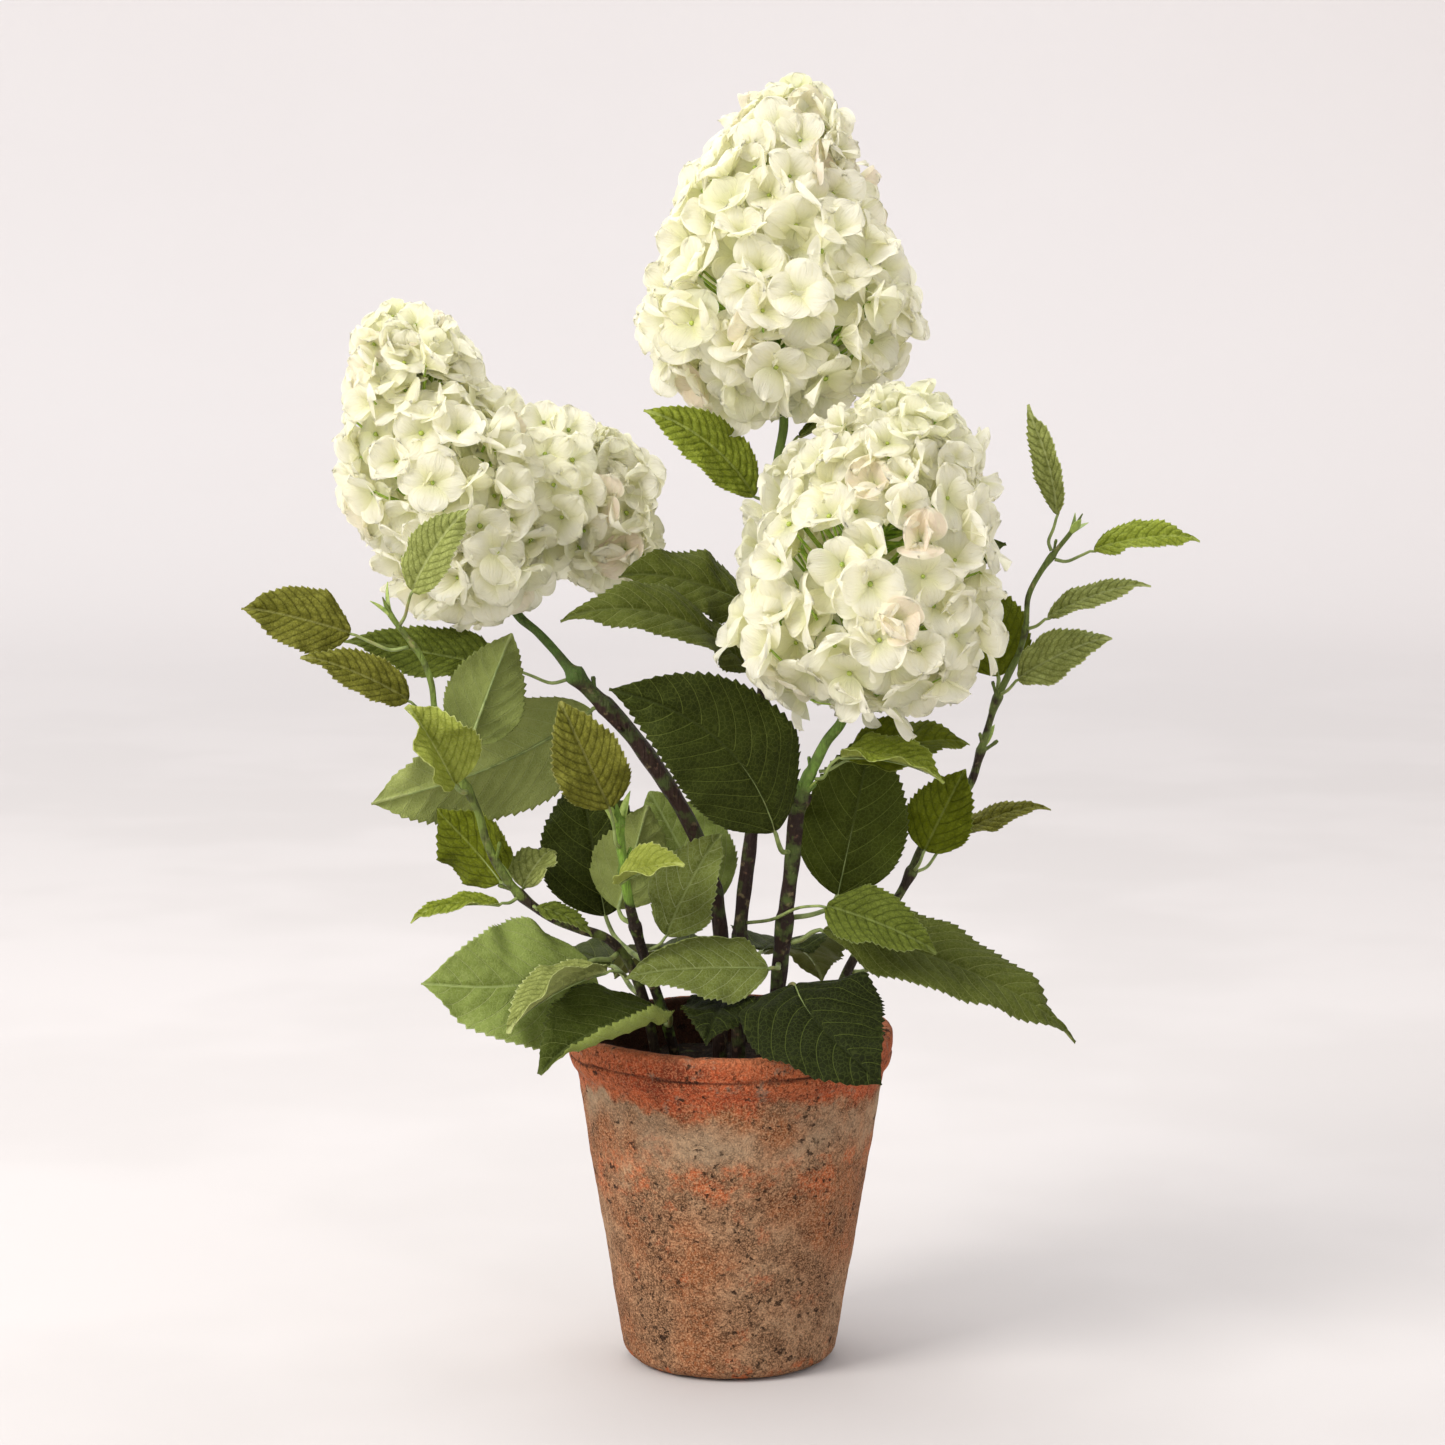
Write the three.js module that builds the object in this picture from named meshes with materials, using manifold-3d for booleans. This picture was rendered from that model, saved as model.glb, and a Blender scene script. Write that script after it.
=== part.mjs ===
// A potted paniculata hydrangea, the decorative kind: woven leaves and petals on wired, sheathed stems
// that stand in a clay-filled terracotta pot.
// Millimetres, +Z up. The origin is the centre of the face that the pot stands on.
import * as THREE from "three";
import { mergeVertices } from "three/addons/utils/BufferGeometryUtils.js";
import Module from "manifold-3d";

// ---------------------------------------------------------------- driving dimensions

const POT_HEIGHT = 171;
const RIM_RADIUS = 82;
const RIM_BAND = 13; // height of the upright band under the lip
const RIM_STEP = 4.5; // how far that band stands out from the tapered wall
const SHOULDER = POT_HEIGHT - RIM_BAND - RIM_STEP * 2; // height where the taper meets the rim
const LIP_ROUNDING = 3;
const BASE_RADIUS = 55;
const BASE_ROUNDING = 11;
const WALL = 9.5;
const FLOOR = 11;
const POT_SIDES = 48;
const CURVE_STEPS = 3; // straight steps in each rounding of the pot
const WELD = 1e-4; // points closer than this are one point

const FILL_TOP = 148; // height of the potting fill at the wall
const FILL_CROWN = 2.5; // how much higher it is in the middle
const FILL_LUMP = 0.9; // height of the ring of lumps half way out
const FILL_RINGS = [0.8, 0.55, 0.3]; // where the top of the fill has its rings, as shares of its radius
const LUMPY_RING = 0.55;
const FILL_INSET = 1.2; // how much narrower the top of the fill is than the wall round it
const FIT_GAP = 0.35; // between pieces that touch
const WALL_GAP = 0.6; // between the fill and the faceted wall
const STALK_GAP = 0.7; // between a leaf stalk and the bending stem it grows from

const STEM_SIDES = 8;
const STEM_STEP = 14; // length of stem between two rings
const HALVINGS = 40; // steps in finding a height on a stem
const STEM_END = 1.5; // length of the point that a stem ends in inside a head
const LEAF_THICKNESS = 0.6;
const STALK_RADIUS = 1.0;
const BIG_LEAF = 40; // a leaf at least this wide has a thicker blade and stalk
const BIG_LEAF_THICKNESS = 0.8;
const BIG_STALK_RADIUS = 1.5;
const LONG_STALK = 14; // a stalk longer than this has one more ring
const WIDE_LEAF = 24; // a leaf wider than this has the finer sections
const WIDE_STATIONS = [0.06, 0.16, 0.28, 0.42, 0.57, 0.71, 0.84, 0.94];
const TIP_TAPER = 0.85; // the smaller, the blunter the tip of a leaf
const BASE_TAPER = 2.4; // the larger, the rounder its base
const BROADEST = 0.57; // share of the blade from its broadest place to the tip
const NARROW_STATIONS = [0.08, 0.22, 0.4, 0.58, 0.76, 0.91];
const HEAD_SIDES = 16;
const HEAD_LUMP = 0.03;
const SOCKET_SHARE = 0.14; // share of a head's axis that its stem goes in
const SOCKET_CLEARANCE = 1.8;
const SOCKET_RUN_IN = 7; // length of stem under a head that already follows the head's axis
const STEM_IN_SOCKET = 0.9; // share of the socket that the stem fills
const STALK_NECK = 0.8; // share of a side cluster's stalk that stays thin

const COLOURS = {
  terracotta: 0xa9704e,
  fill: 0x3a2a20,
  barkStem: 0x4a2f28,
  greenStem: 0x6b8a3c,
  petals: 0xf3f0d8,
  smoothLeaf: 0x46602b,
  quiltedLeaf: 0x7b9144,
  paleLeaf: 0x8a9a68,
};

// ---------------------------------------------------------------- flower heads

// Each head is a lumpy cone of florets round a curved axis. The radii are those of its outline at
// the shares of the axis in HEAD_STATIONS, from the lowest florets to the tip.
const HEAD_STATIONS = [0, 0.06, 0.16, 0.3, 0.45, 0.6, 0.74, 0.86, 0.95];
const HEADS = {
  flower_head_centre: {
    axis: [[26, 8, 480], [23, 8, 560], [32, 8, 646]],
    radii: [24, 46, 60, 67, 60, 51, 38, 26, 17],
  },
  flower_head_left: {
    axis: [[-110, 12, 384], [-144, 12, 448], [-169, 8, 536]],
    radii: [18, 34, 43, 48, 49, 43, 34, 27, 19],
  },
  flower_head_right: {
    axis: [[56, -46, 339], [68, -55, 410], [98, -60, 497]],
    radii: [22, 44, 57, 62, 60, 55, 43, 34, 24],
  },
  flower_cluster_left: {
    axis: [[-62, 34, 391], [-62, 34, 430], [-65, 34, 471]],
    radii: [8, 18, 23, 26, 27, 25, 20, 14, 9],
    stalk: [-85, 9, 369],
    stalkRadius: 1.6,
  },
};

// ---------------------------------------------------------------- stems

// Points of each stem's centre line with the stem's radius there, from the fill upwards.
// "head" is the flower head that the stem goes into; a shoot with no head ends in a bud.
const STEMS = {
  stem_centre: {
    colour: "barkStem",
    head: "flower_head_centre",
    points: [
      [4, 2, 118, 3.7], [4, 1, 160, 3.7], [5, 0, 217, 3.6], [10, 2, 265, 3.5], [17, 4, 346, 3.4],
      [20, 5, 400, 3.2], [22, 6, 436, 3.0], [25, 8, 468, 2.5],
    ],
  },
  stem_left: {
    colour: "barkStem",
    head: "flower_head_left",
    points: [
      [-6, 10, 118, 3.9], [-5, 9, 165, 3.9], [-5, 7, 214, 3.9], [-9, 5, 240, 4.0], [-19, 1, 271, 4.1],
      [-48, -4, 318, 4.2], [-77, -4, 349, 3.4], [-93, 2, 367, 3.0],
    ],
  },
  stem_right: {
    colour: "barkStem",
    head: "flower_head_right",
    points: [
      [18, -5, 118, 4.0], [22, -8, 170, 4.0], [27, -12, 227, 4.0], [30, -17, 253, 3.9],
      [34, -27, 290, 3.8], [42, -36, 310, 3.2], [49, -41, 324, 3.0],
    ],
  },
  shoot_left: {
    colour: "greenStem",
    points: [
      [-34, -15, 118, 2.6], [-38, -15, 160, 2.6], [-48, -18, 200, 2.5], [-60, -25, 219, 2.4],
      [-84, -35, 230, 2.3], [-104, -40, 245, 2.2], [-118, -42, 267, 2.1], [-126, -42, 292, 2.0],
      [-136, -41, 308, 1.9], [-145, -38, 334, 1.7], [-149, -34, 356, 1.5], [-161, -31, 374, 1.3],
      [-168, -29, 384, 1.6],
    ],
    bud: [-171, -28, 391],
  },
  shoot_middle: {
    colour: "greenStem",
    points: [
      [-22, -2, 118, 2.7], [-30, -11, 165, 2.7], [-43, -27, 212, 2.6], [-50, -38, 242, 2.5],
      [-53, -42, 264, 2.3], [-55, -44, 281, 2.6],
    ],
    bud: [-56, -45, 291],
  },
  shoot_right: {
    colour: "greenStem",
    points: [
      [36, 8, 118, 2.4], [45, 13, 160, 2.4], [64, 16, 205, 2.3], [88, 17, 238, 2.2], [98, 17, 260, 2.1],
      [120, 17, 288, 2.0], [127, 18, 309, 1.9], [134, 18, 334, 1.8], [147, 16, 365, 1.5],
      [150, 14, 390, 1.4], [160, 12, 406, 1.3], [172, 10, 422, 1.2],
    ],
    bud: [176, 9, 429],
  },
};

// ---------------------------------------------------------------- leaves

// "at" is the height on the stem where the leaf stalk leaves it; the blade runs from "blade" to "tip".
// "face" is the way the upper side looks, "width" the blade's greatest width and "arch" how far the
// midrib bulges towards the upper side. "fold" and "cup" are degrees: how far each half is raised
// from the midrib, and how much further its outer part turns.
const LEAVES = {
  shoot_left: [
    { at: 368, blade: [-186, -35, 374], tip: [-239, -43, 388], width: 34, face: [-0.1, -0.85, 0.5],
      arch: 3, fold: 8, cup: -10, kind: "quiltedLeaf" },
    { at: 377, blade: [-155, -50, 396], tip: [-127, -60, 438], width: 27, face: [-0.4, -0.9, 0.2],
      arch: 5, fold: 10, cup: -6, kind: "paleLeaf" },
    { at: 333, blade: [-157, -45, 342], tip: [-209, -56, 366], width: 24, face: [-0.3, -0.7, 0.65],
      arch: 5, fold: 12, cup: 0, kind: "quiltedLeaf" },
    { at: 297, blade: [-135, -50, 301], tip: [-156, -66, 342], width: 44, face: [0.55, -0.8, 0.3],
      arch: 2, fold: 38, cup: 5, kind: "quiltedLeaf" },
    { at: 304, blade: [-129, -31, 318], tip: [-108, -20, 373], width: 41, face: [0.1, 0.85, 0.5],
      arch: 4, fold: 8, cup: 0, kind: "paleLeaf" },
    { at: 252, blade: [-114, -30, 249], tip: [-147, -20, 284], width: 43, face: [0.1, 0.85, 0.5],
      arch: 2, fold: 6, cup: 0, kind: "quiltedLeaf" },
    { at: 244, blade: [-103, -28, 246], tip: [-88, -14, 264], width: 27, face: [-0.3, -0.6, 0.7],
      arch: 3, fold: 15, cup: 0, kind: "quiltedLeaf" },
    { at: 245, blade: [-113, -48, 242], tip: [-157, -64, 237], width: 17, face: [-0.1, -0.3, 0.95],
      arch: 4, fold: 10, cup: 0, kind: "quiltedLeaf" },
    { at: 239, blade: [-96, -47, 240], tip: [-67, -59, 229], width: 13, face: [0.2, -0.5, 0.85],
      arch: 2, fold: 12, cup: 0, kind: "quiltedLeaf" },
  ],
  stem_left: [
    { at: 350, blade: [-110, -3, 353], tip: [-192, -8, 369], width: 32, face: [0, -0.7, 0.7],
      arch: 0, fold: 6, cup: 0, kind: "quiltedLeaf" },
    { at: 334, blade: [-70, 12, 330], tip: [-180, -16, 288], width: 64, face: [0, 0.95, 0.3],
      arch: -2, sway: -7, fold: 5, cup: -6, kind: "paleLeaf" },
    { at: 220, blade: [-9, 18, 228], tip: [-42, 36, 286], width: 52, face: [-0.2, -0.8, 0.55],
      arch: 5, fold: 8, cup: 0, kind: "smoothLeaf" },
  ],
  shoot_middle: [
    { at: 270, blade: [-59, -53, 290], tip: [-83, -60, 344], width: 38, face: [-0.1, -0.9, 0.4],
      arch: 5, fold: 14, cup: 0, kind: "quiltedLeaf" },
    { at: 255, blade: [-55, -53, 253], tip: [-23, -76, 267], width: 27, face: [-0.1, -0.5, 0.85],
      arch: 3, fold: 28, cup: 0, kind: "quiltedLeaf" },
    { at: 228, blade: [-56, -20, 234], tip: [-41, -14, 286], width: 42, face: [0.1, 0.95, 0.3],
      arch: 2, fold: 12, cup: 5, kind: "paleLeaf" },
    { at: 214, blade: [-32, -29, 222], tip: [-5, -26, 274], width: 38, face: [-0.3, -0.85, 0.4],
      arch: 4, fold: 10, cup: 0, kind: "paleLeaf" },
    { at: 208, blade: [-63, -2, 227], tip: [-76, 18, 300], width: 56, face: [-0.1, -0.9, 0.35],
      arch: 4, fold: 6, cup: 0, kind: "smoothLeaf" },
  ],
  stem_centre: [
    { at: 462, blade: [34, 12, 468], tip: [76, 28, 480], width: 20, face: [0, 0, 1],
      arch: 2, fold: 6, cup: 0, kind: "smoothLeaf" },
    { at: 437, blade: [12, 0, 438], tip: [-42, -21, 483], width: 30, face: [-0.1, -0.85, 0.5],
      arch: 5, sway: -5, fold: 10, cup: -5, kind: "quiltedLeaf" },
    { at: 438, blade: [36, 13, 446], tip: [67, 26, 471], width: 21, face: [0.2, 0.3, 0.9],
      arch: 3, fold: 8, cup: 0, kind: "smoothLeaf" },
    { at: 362, blade: [10, 20, 382], tip: [-56, 1, 400], width: 42, face: [0, -0.7, 0.7],
      arch: 7, fold: 8, cup: -10, kind: "smoothLeaf" },
    { at: 345, blade: [8, -5, 352], tip: [-84, -44, 384], width: 44, face: [-0.1, -0.6, 0.8],
      arch: 19, fold: 8, cup: -10, kind: "smoothLeaf" },
    { at: 350, blade: [34, 24, 370], tip: [140, 28, 414], width: 50, face: [0, -0.9, 0.4],
      arch: 7, fold: 8, cup: -8, kind: "smoothLeaf" },
    { at: 292, blade: [12, 18, 300], tip: [-4, 88, 322], width: 46, face: [0, -0.3, 0.95],
      arch: 8, fold: 8, cup: -8, kind: "smoothLeaf" },
  ],
  stem_right: [
    { at: 306, blade: [58, -32, 311], tip: [120, -12, 318], width: 36, face: [0, -0.5, 0.85],
      arch: 4, fold: 8, cup: 0, kind: "quiltedLeaf" },
    { at: 304, blade: [54, -47, 315], tip: [104, -70, 307], width: 34, face: [0.1, -0.2, 0.95],
      arch: 4, fold: 28, cup: -10, kind: "quiltedLeaf" },
    { at: 264, blade: [22, -39, 276], tip: [-58, -76, 351], width: 64, face: [-0.25, -0.85, 0.45],
      arch: 7, sway: -15, fold: 6, cup: -8, kind: "smoothLeaf" },
    { at: 228, blade: [54, 1, 237], tip: [72, 6, 323], width: 56, face: [0.05, -0.93, 0.3],
      arch: 3, fold: 5, cup: 0, kind: "smoothLeaf" },
  ],
  shoot_right: [
    { at: 409, blade: [163, 10, 428], tip: [146, 4, 483], width: 17, face: [-0.6, -0.6, 0.5],
      arch: 0, sway: -4, fold: 15, cup: 0, kind: "quiltedLeaf" },
    { at: 407, blade: [181, 8, 411], tip: [234, 0, 418], width: 22, face: [0, -0.6, 0.8],
      arch: 4, fold: 10, cup: 0, kind: "quiltedLeaf" },
    { at: 371, blade: [158, 6, 377], tip: [209, -4, 396], width: 17, face: [-0.1, -0.6, 0.8],
      arch: 4, fold: 10, cup: 0, kind: "quiltedLeaf" },
    { at: 338, blade: [144, 8, 346], tip: [189, -10, 370], width: 28, face: [-0.1, -0.75, 0.65],
      arch: 4, fold: 8, cup: 0, kind: "quiltedLeaf" },
    { at: 328, blade: [136, 27, 345], tip: [124, 31, 397], width: 40, face: [0.2, -0.95, 0.15],
      arch: 3, fold: 6, cup: 0, kind: "quiltedLeaf" },
    { at: 248, blade: [98, 12, 258], tip: [118, 5, 301], width: 35, face: [0, -0.9, 0.45],
      arch: 3, fold: 6, cup: 0, kind: "quiltedLeaf" },
    { at: 247, blade: [112, 26, 262], tip: [164, 34, 278], width: 19, face: [0, -0.4, 0.9],
      arch: 4, fold: 10, cup: 0, kind: "quiltedLeaf" },
  ],
};

// The leaves that spread over the rim, each on the stem or shoot that it grows from.
const RIM_LEAVES = [
  { stem: "shoot_left", at: 214, blade: [-70, -43, 212], tip: [-150, -81, 210], width: 70,
    face: [-0.2, -0.88, 0.42], arch: 6, sway: 10, fold: 5, cup: -5, kind: "smoothLeaf" },
  { stem: "shoot_left", at: 202, blade: [-61, -57, 210], tip: [-108, -104, 191], width: 35,
    face: [-0.5, -0.3, 0.8], arch: 4, fold: 32, cup: 0, kind: "quiltedLeaf" },
  { stem: "shoot_middle", at: 176, blade: [-34, -50, 189], tip: [-92, -112, 173], width: 57,
    face: [-0.1, -0.5, 0.85], arch: 7, fold: 8, cup: 10, kind: "smoothLeaf" },
  { stem: "stem_right", at: 205, blade: [19, -40, 208], tip: [-52, -58, 208], width: 42,
    face: [0, -0.65, 0.76], arch: 3, fold: 4, cup: 0, kind: "smoothLeaf" },
  { stem: "stem_centre", at: 182, blade: [-2, -35, 192], tip: [-12, -86, 181], width: 36,
    face: [0, -0.25, 0.95], arch: 4, fold: 8, cup: -5, kind: "smoothLeaf" },
  { stem: "stem_right", at: 190, blade: [32, -42, 200], tip: [73, -106, 166], width: 72,
    face: [0.1, -0.8, 0.6], arch: 7, sway: -8, fold: 5, cup: -5, kind: "smoothLeaf" },
  { stem: "stem_right", at: 216, blade: [46, -16, 223], tip: [174, -42, 174], width: 54,
    face: [0.15, -0.45, 0.9], arch: 11, fold: 8, cup: -8, kind: "smoothLeaf" },
  { stem: "stem_centre", at: 224, blade: [47, -38, 239], tip: [101, -64, 221], width: 33,
    face: [0.1, -0.8, 0.6], arch: 4, fold: 10, cup: 0, kind: "quiltedLeaf" },
  { stem: "shoot_right", at: 196, blade: [80, 24, 200], tip: [139, 40, 197], width: 40,
    face: [0, -0.3, 0.95], arch: 6, fold: 8, cup: -5, kind: "smoothLeaf" },
  { stem: "stem_left", at: 188, blade: [-18, 28, 200], tip: [-62, 106, 177], width: 54,
    face: [-0.1, 0.35, 0.9], arch: 9, fold: 6, cup: -5, kind: "smoothLeaf" },
  { stem: "stem_centre", at: 196, blade: [16, 22, 205], tip: [50, 114, 174], width: 56,
    face: [0.1, 0.4, 0.9], arch: 10, fold: 6, cup: -5, kind: "smoothLeaf" },
  { stem: "shoot_left", at: 190, blade: [-60, 0, 202], tip: [-130, 52, 188], width: 48,
    face: [-0.3, 0.25, 0.9], arch: 8, fold: 6, cup: -5, kind: "smoothLeaf" },
];

// ---------------------------------------------------------------- shared geometry

const vector = (list) => new THREE.Vector3(list[0], list[1], list[2]);
const radians = THREE.MathUtils.degToRad;

// The part of v that is square to the unit vector axis, as a unit vector.
function squareTo(v, axis) {
  return v.clone().addScaledVector(axis, -v.dot(axis)).normalize();
}

// Joins rings into one closed skin that faces out. Every ring has the same number of points,
// turning the right-handed way about the direction of travel. The two ends are single points.
function loft(start, rings, end) {
  const sides = rings[0].length;
  const points = [start, ...rings.flat(), end];
  const last = points.length - 1;
  const faces = [];
  const at = (ring, side) => 1 + ring * sides + (side % sides);
  for (let side = 0; side < sides; side++) {
    faces.push(0, at(0, side + 1), at(0, side));
    for (let ring = 0; ring + 1 < rings.length; ring++) {
      faces.push(at(ring, side), at(ring, side + 1), at(ring + 1, side + 1));
      faces.push(at(ring, side), at(ring + 1, side + 1), at(ring + 1, side));
    }
    faces.push(last, at(rings.length - 1, side), at(rings.length - 1, side + 1));
  }
  const geometry = new THREE.BufferGeometry().setFromPoints(points);
  geometry.setIndex(faces);
  return geometry;
}

// A round ring with its centre, its axis and the direction of its first point.
function roundRing(centre, axis, first, radius, sides) {
  const second = new THREE.Vector3().crossVectors(axis, first);
  const ring = [];
  for (let side = 0; side < sides; side++) {
    const angle = (2 * Math.PI * side) / sides;
    ring.push(
      centre
        .clone()
        .addScaledVector(first, radius * Math.cos(angle))
        .addScaledVector(second, radius * Math.sin(angle)),
    );
  }
  return ring;
}

// A mesh with its own material and its node's name.
function piece(name, geometry, colour, roughness) {
  geometry.computeVertexNormals();
  const material = new THREE.MeshStandardMaterial({ color: COLOURS[colour], roughness, metalness: 0 });
  const mesh = new THREE.Mesh(geometry, material);
  mesh.name = name;
  return mesh;
}

// ---------------------------------------------------------------- flower heads

const headCurve = (head) => new THREE.CatmullRomCurve3(head.axis.map(vector));

// The rings that carry a head's skin from its stalk, or from the socket for its stem, to its tip.
function headGeometry(head, socketRadius) {
  const curve = headCurve(head);
  const first = new THREE.Vector3(1, 0, 0);
  const ringAt = (share, radius) => {
    const axis = curve.getTangentAt(share);
    return roundRing(curve.getPointAt(share), axis, squareTo(first, axis), radius, HEAD_SIDES);
  };
  const rings = [];
  let start;
  if (head.stalk) {
    start = vector(head.stalk);
    const foot = curve.getPointAt(0);
    const axis = foot.clone().sub(start).normalize();
    rings.push(roundRing(start, axis, squareTo(first, axis), head.stalkRadius, HEAD_SIDES));
    const neck = start.clone().lerp(foot, STALK_NECK);
    rings.push(roundRing(neck, axis, squareTo(first, axis), head.stalkRadius, HEAD_SIDES));
  } else {
    start = curve.getPointAt(SOCKET_SHARE);
    rings.push(ringAt(SOCKET_SHARE, socketRadius));
    rings.push(ringAt(0, socketRadius));
  }
  HEAD_STATIONS.forEach((share, level) => {
    const ring = ringAt(share, head.radii[level]);
    const centre = curve.getPointAt(share);
    ring.forEach((point, side) => {
      const lump = (level + side) % 2 ? HEAD_LUMP : -HEAD_LUMP;
      point.lerp(centre, lump);
    });
    rings.push(ring);
  });
  return loft(start, rings, curve.getPointAt(1));
}

// ---------------------------------------------------------------- stems

// A stem's centre line, run on into the socket of its flower head.
function stemCurve(stem) {
  const points = stem.points.map(vector);
  if (stem.head) {
    const axis = headCurve(HEADS[stem.head]);
    const bottom = axis.getPointAt(0);
    points.push(bottom.clone().addScaledVector(axis.getTangentAt(0), -SOCKET_RUN_IN));
    points.push(bottom);
    points.push(axis.getPointAt(SOCKET_SHARE / 2));
    points.push(axis.getPointAt(SOCKET_SHARE * STEM_IN_SOCKET));
  }
  return new THREE.CatmullRomCurve3(points, false, "centripetal");
}

// The stem's radius at a height, taken in a straight line between its points.
function stemRadius(stem, height) {
  const points = stem.points;
  const above = points.findIndex((point) => point[2] > height);
  if (above < 0) return points[points.length - 1][3];
  if (above === 0) return points[0][3];
  const [low, high] = [points[above - 1], points[above]];
  const share = (height - low[2]) / (high[2] - low[2]);
  return low[3] + share * (high[3] - low[3]);
}

// "grow" makes the stem that much fatter and longer at the foot, to cut its hole with.
function stemGeometry(stem, grow = 0) {
  const curve = stemCurve(stem);
  const steps = Math.round(curve.getLength() / STEM_STEP);
  const frames = curve.computeFrenetFrames(steps, false);
  const rings = [];
  for (let step = 0; step <= steps; step++) {
    const centre = curve.getPointAt(step / steps);
    const radius = stemRadius(stem, centre.z) + grow;
    if (step === 0) centre.addScaledVector(frames.tangents[0], -grow);
    rings.push(roundRing(centre, frames.tangents[step], frames.normals[step], radius, STEM_SIDES));
  }
  const start = curve.getPointAt(0).addScaledVector(frames.tangents[0], -grow);
  const end = curve.getPointAt(1).addScaledVector(frames.tangents[steps], STEM_END + grow);
  return loft(start, rings, stem.bud ? vector(stem.bud) : end);
}

// ---------------------------------------------------------------- leaves

// Half the blade's width at a share of its length, as a share of the greatest: an egg shape
// that is broadest below the middle and runs out to a long point.
function leafOutline(share) {
  const rest = 1 - share;
  const outline = (left) => Math.pow(left, TIP_TAPER) * (1 - Math.pow(left, BASE_TAPER));
  return outline(rest) / outline(BROADEST);
}

// Where a leaf stalk leaves its stem: just clear of the stem's skin on the side of the blade.
function stalkFoot(stem, height, target) {
  const curve = stemCurve(stem);
  let [low, high] = [0, 1];
  for (let pass = 0; pass < HALVINGS; pass++) {
    const middle = (low + high) / 2;
    if (curve.getPointAt(middle).z < height) low = middle;
    else high = middle;
  }
  const centre = curve.getPointAt(low);
  const outwards = squareTo(target.clone().sub(centre), curve.getTangentAt(low));
  const reach = stemRadius(stem, height) + STALK_GAP;
  return { point: centre.addScaledVector(outwards, reach), outwards };
}

// One section of a blade: its left margin, three points over the top, its right margin and three
// points back underneath.
function bladeRing(centre, side, up, half, leaf, thickness) {
  const skin = thickness / 2;
  const edges = [];
  const upper = [];
  const lower = [];
  for (const way of [1, -1]) {
    const fold = radians(leaf.fold);
    const outer = radians(leaf.fold + leaf.cup);
    const along = (angle) =>
      side.clone().multiplyScalar(way * Math.cos(angle)).addScaledVector(up, Math.sin(angle));
    const quarter = centre.clone().addScaledVector(along(fold), half / 2);
    const normal = along((fold + outer) / 2 + Math.PI / 2);
    if (way < 0) normal.negate();
    const lift = up.dot(normal) < 0 ? -skin : skin;
    edges.push(quarter.clone().addScaledVector(along(outer), half / 2));
    upper.push(quarter.clone().addScaledVector(normal, lift));
    lower.push(quarter.clone().addScaledVector(normal, -lift));
  }
  const top = centre.clone().addScaledVector(up, skin);
  const rib = centre.clone().addScaledVector(up, -skin);
  return [edges[0], upper[0], top, upper[1], edges[1], lower[1], rib, lower[0]];
}

function leafGeometry(stem, leaf) {
  const base = vector(leaf.blade);
  const tip = vector(leaf.tip);
  const run = tip.clone().sub(base);
  const face = squareTo(vector(leaf.face), run.clone().normalize());
  const big = leaf.width >= BIG_LEAF;
  const thickness = big ? BIG_LEAF_THICKNESS : LEAF_THICKNESS;
  const stalkRadius = big ? BIG_STALK_RADIUS : STALK_RADIUS;

  // The midrib bows by "arch" towards the face and by "sway" towards the left margin.
  const left = new THREE.Vector3().crossVectors(face, run).normalize();
  const bow = face.clone().multiplyScalar(leaf.arch).addScaledVector(left, leaf.sway ?? 0);
  const midrib = (share) =>
    base.clone().addScaledVector(run, share).addScaledVector(bow, 4 * share * (1 - share));
  const heading = (share) => run.clone().addScaledVector(bow, 4 * (1 - 2 * share)).normalize();

  const foot = stalkFoot(stem, leaf.at, base);
  const reach = foot.point.distanceTo(base);
  const stalk = new THREE.CubicBezierCurve3(
    foot.point,
    foot.point.clone().addScaledVector(foot.outwards, reach / 3),
    base.clone().addScaledVector(heading(0), -reach / 3),
    base,
  );
  const rings = [];
  const stalkRings = reach > LONG_STALK ? 3 : 2;
  for (let ring = 0; ring <= stalkRings; ring++) {
    const share = ring / stalkRings;
    const axis = stalk.getTangent(share);
    const up = squareTo(face, axis);
    const side = new THREE.Vector3().crossVectors(up, axis);
    rings.push(roundRing(stalk.getPoint(share), axis, side, stalkRadius, STEM_SIDES));
  }
  const stations = leaf.width > WIDE_LEAF ? WIDE_STATIONS : NARROW_STATIONS;
  for (const share of stations) {
    const axis = heading(share);
    const up = squareTo(face, axis);
    const side = new THREE.Vector3().crossVectors(up, axis);
    const half = (leaf.width / 2) * leafOutline(share);
    rings.push(bladeRing(midrib(share), side, up, half, leaf, thickness));
  }
  return loft(foot.point, rings, tip);
}

// ---------------------------------------------------------------- pot and fill

// The inside of the pot's wall at a height: it runs parallel to the tapered outside.
function wallRadius(height) {
  const rise = (RIM_RADIUS - RIM_STEP - BASE_RADIUS) / (SHOULDER - BASE_ROUNDING);
  return BASE_RADIUS + rise * (height - BASE_ROUNDING);
}

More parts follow.
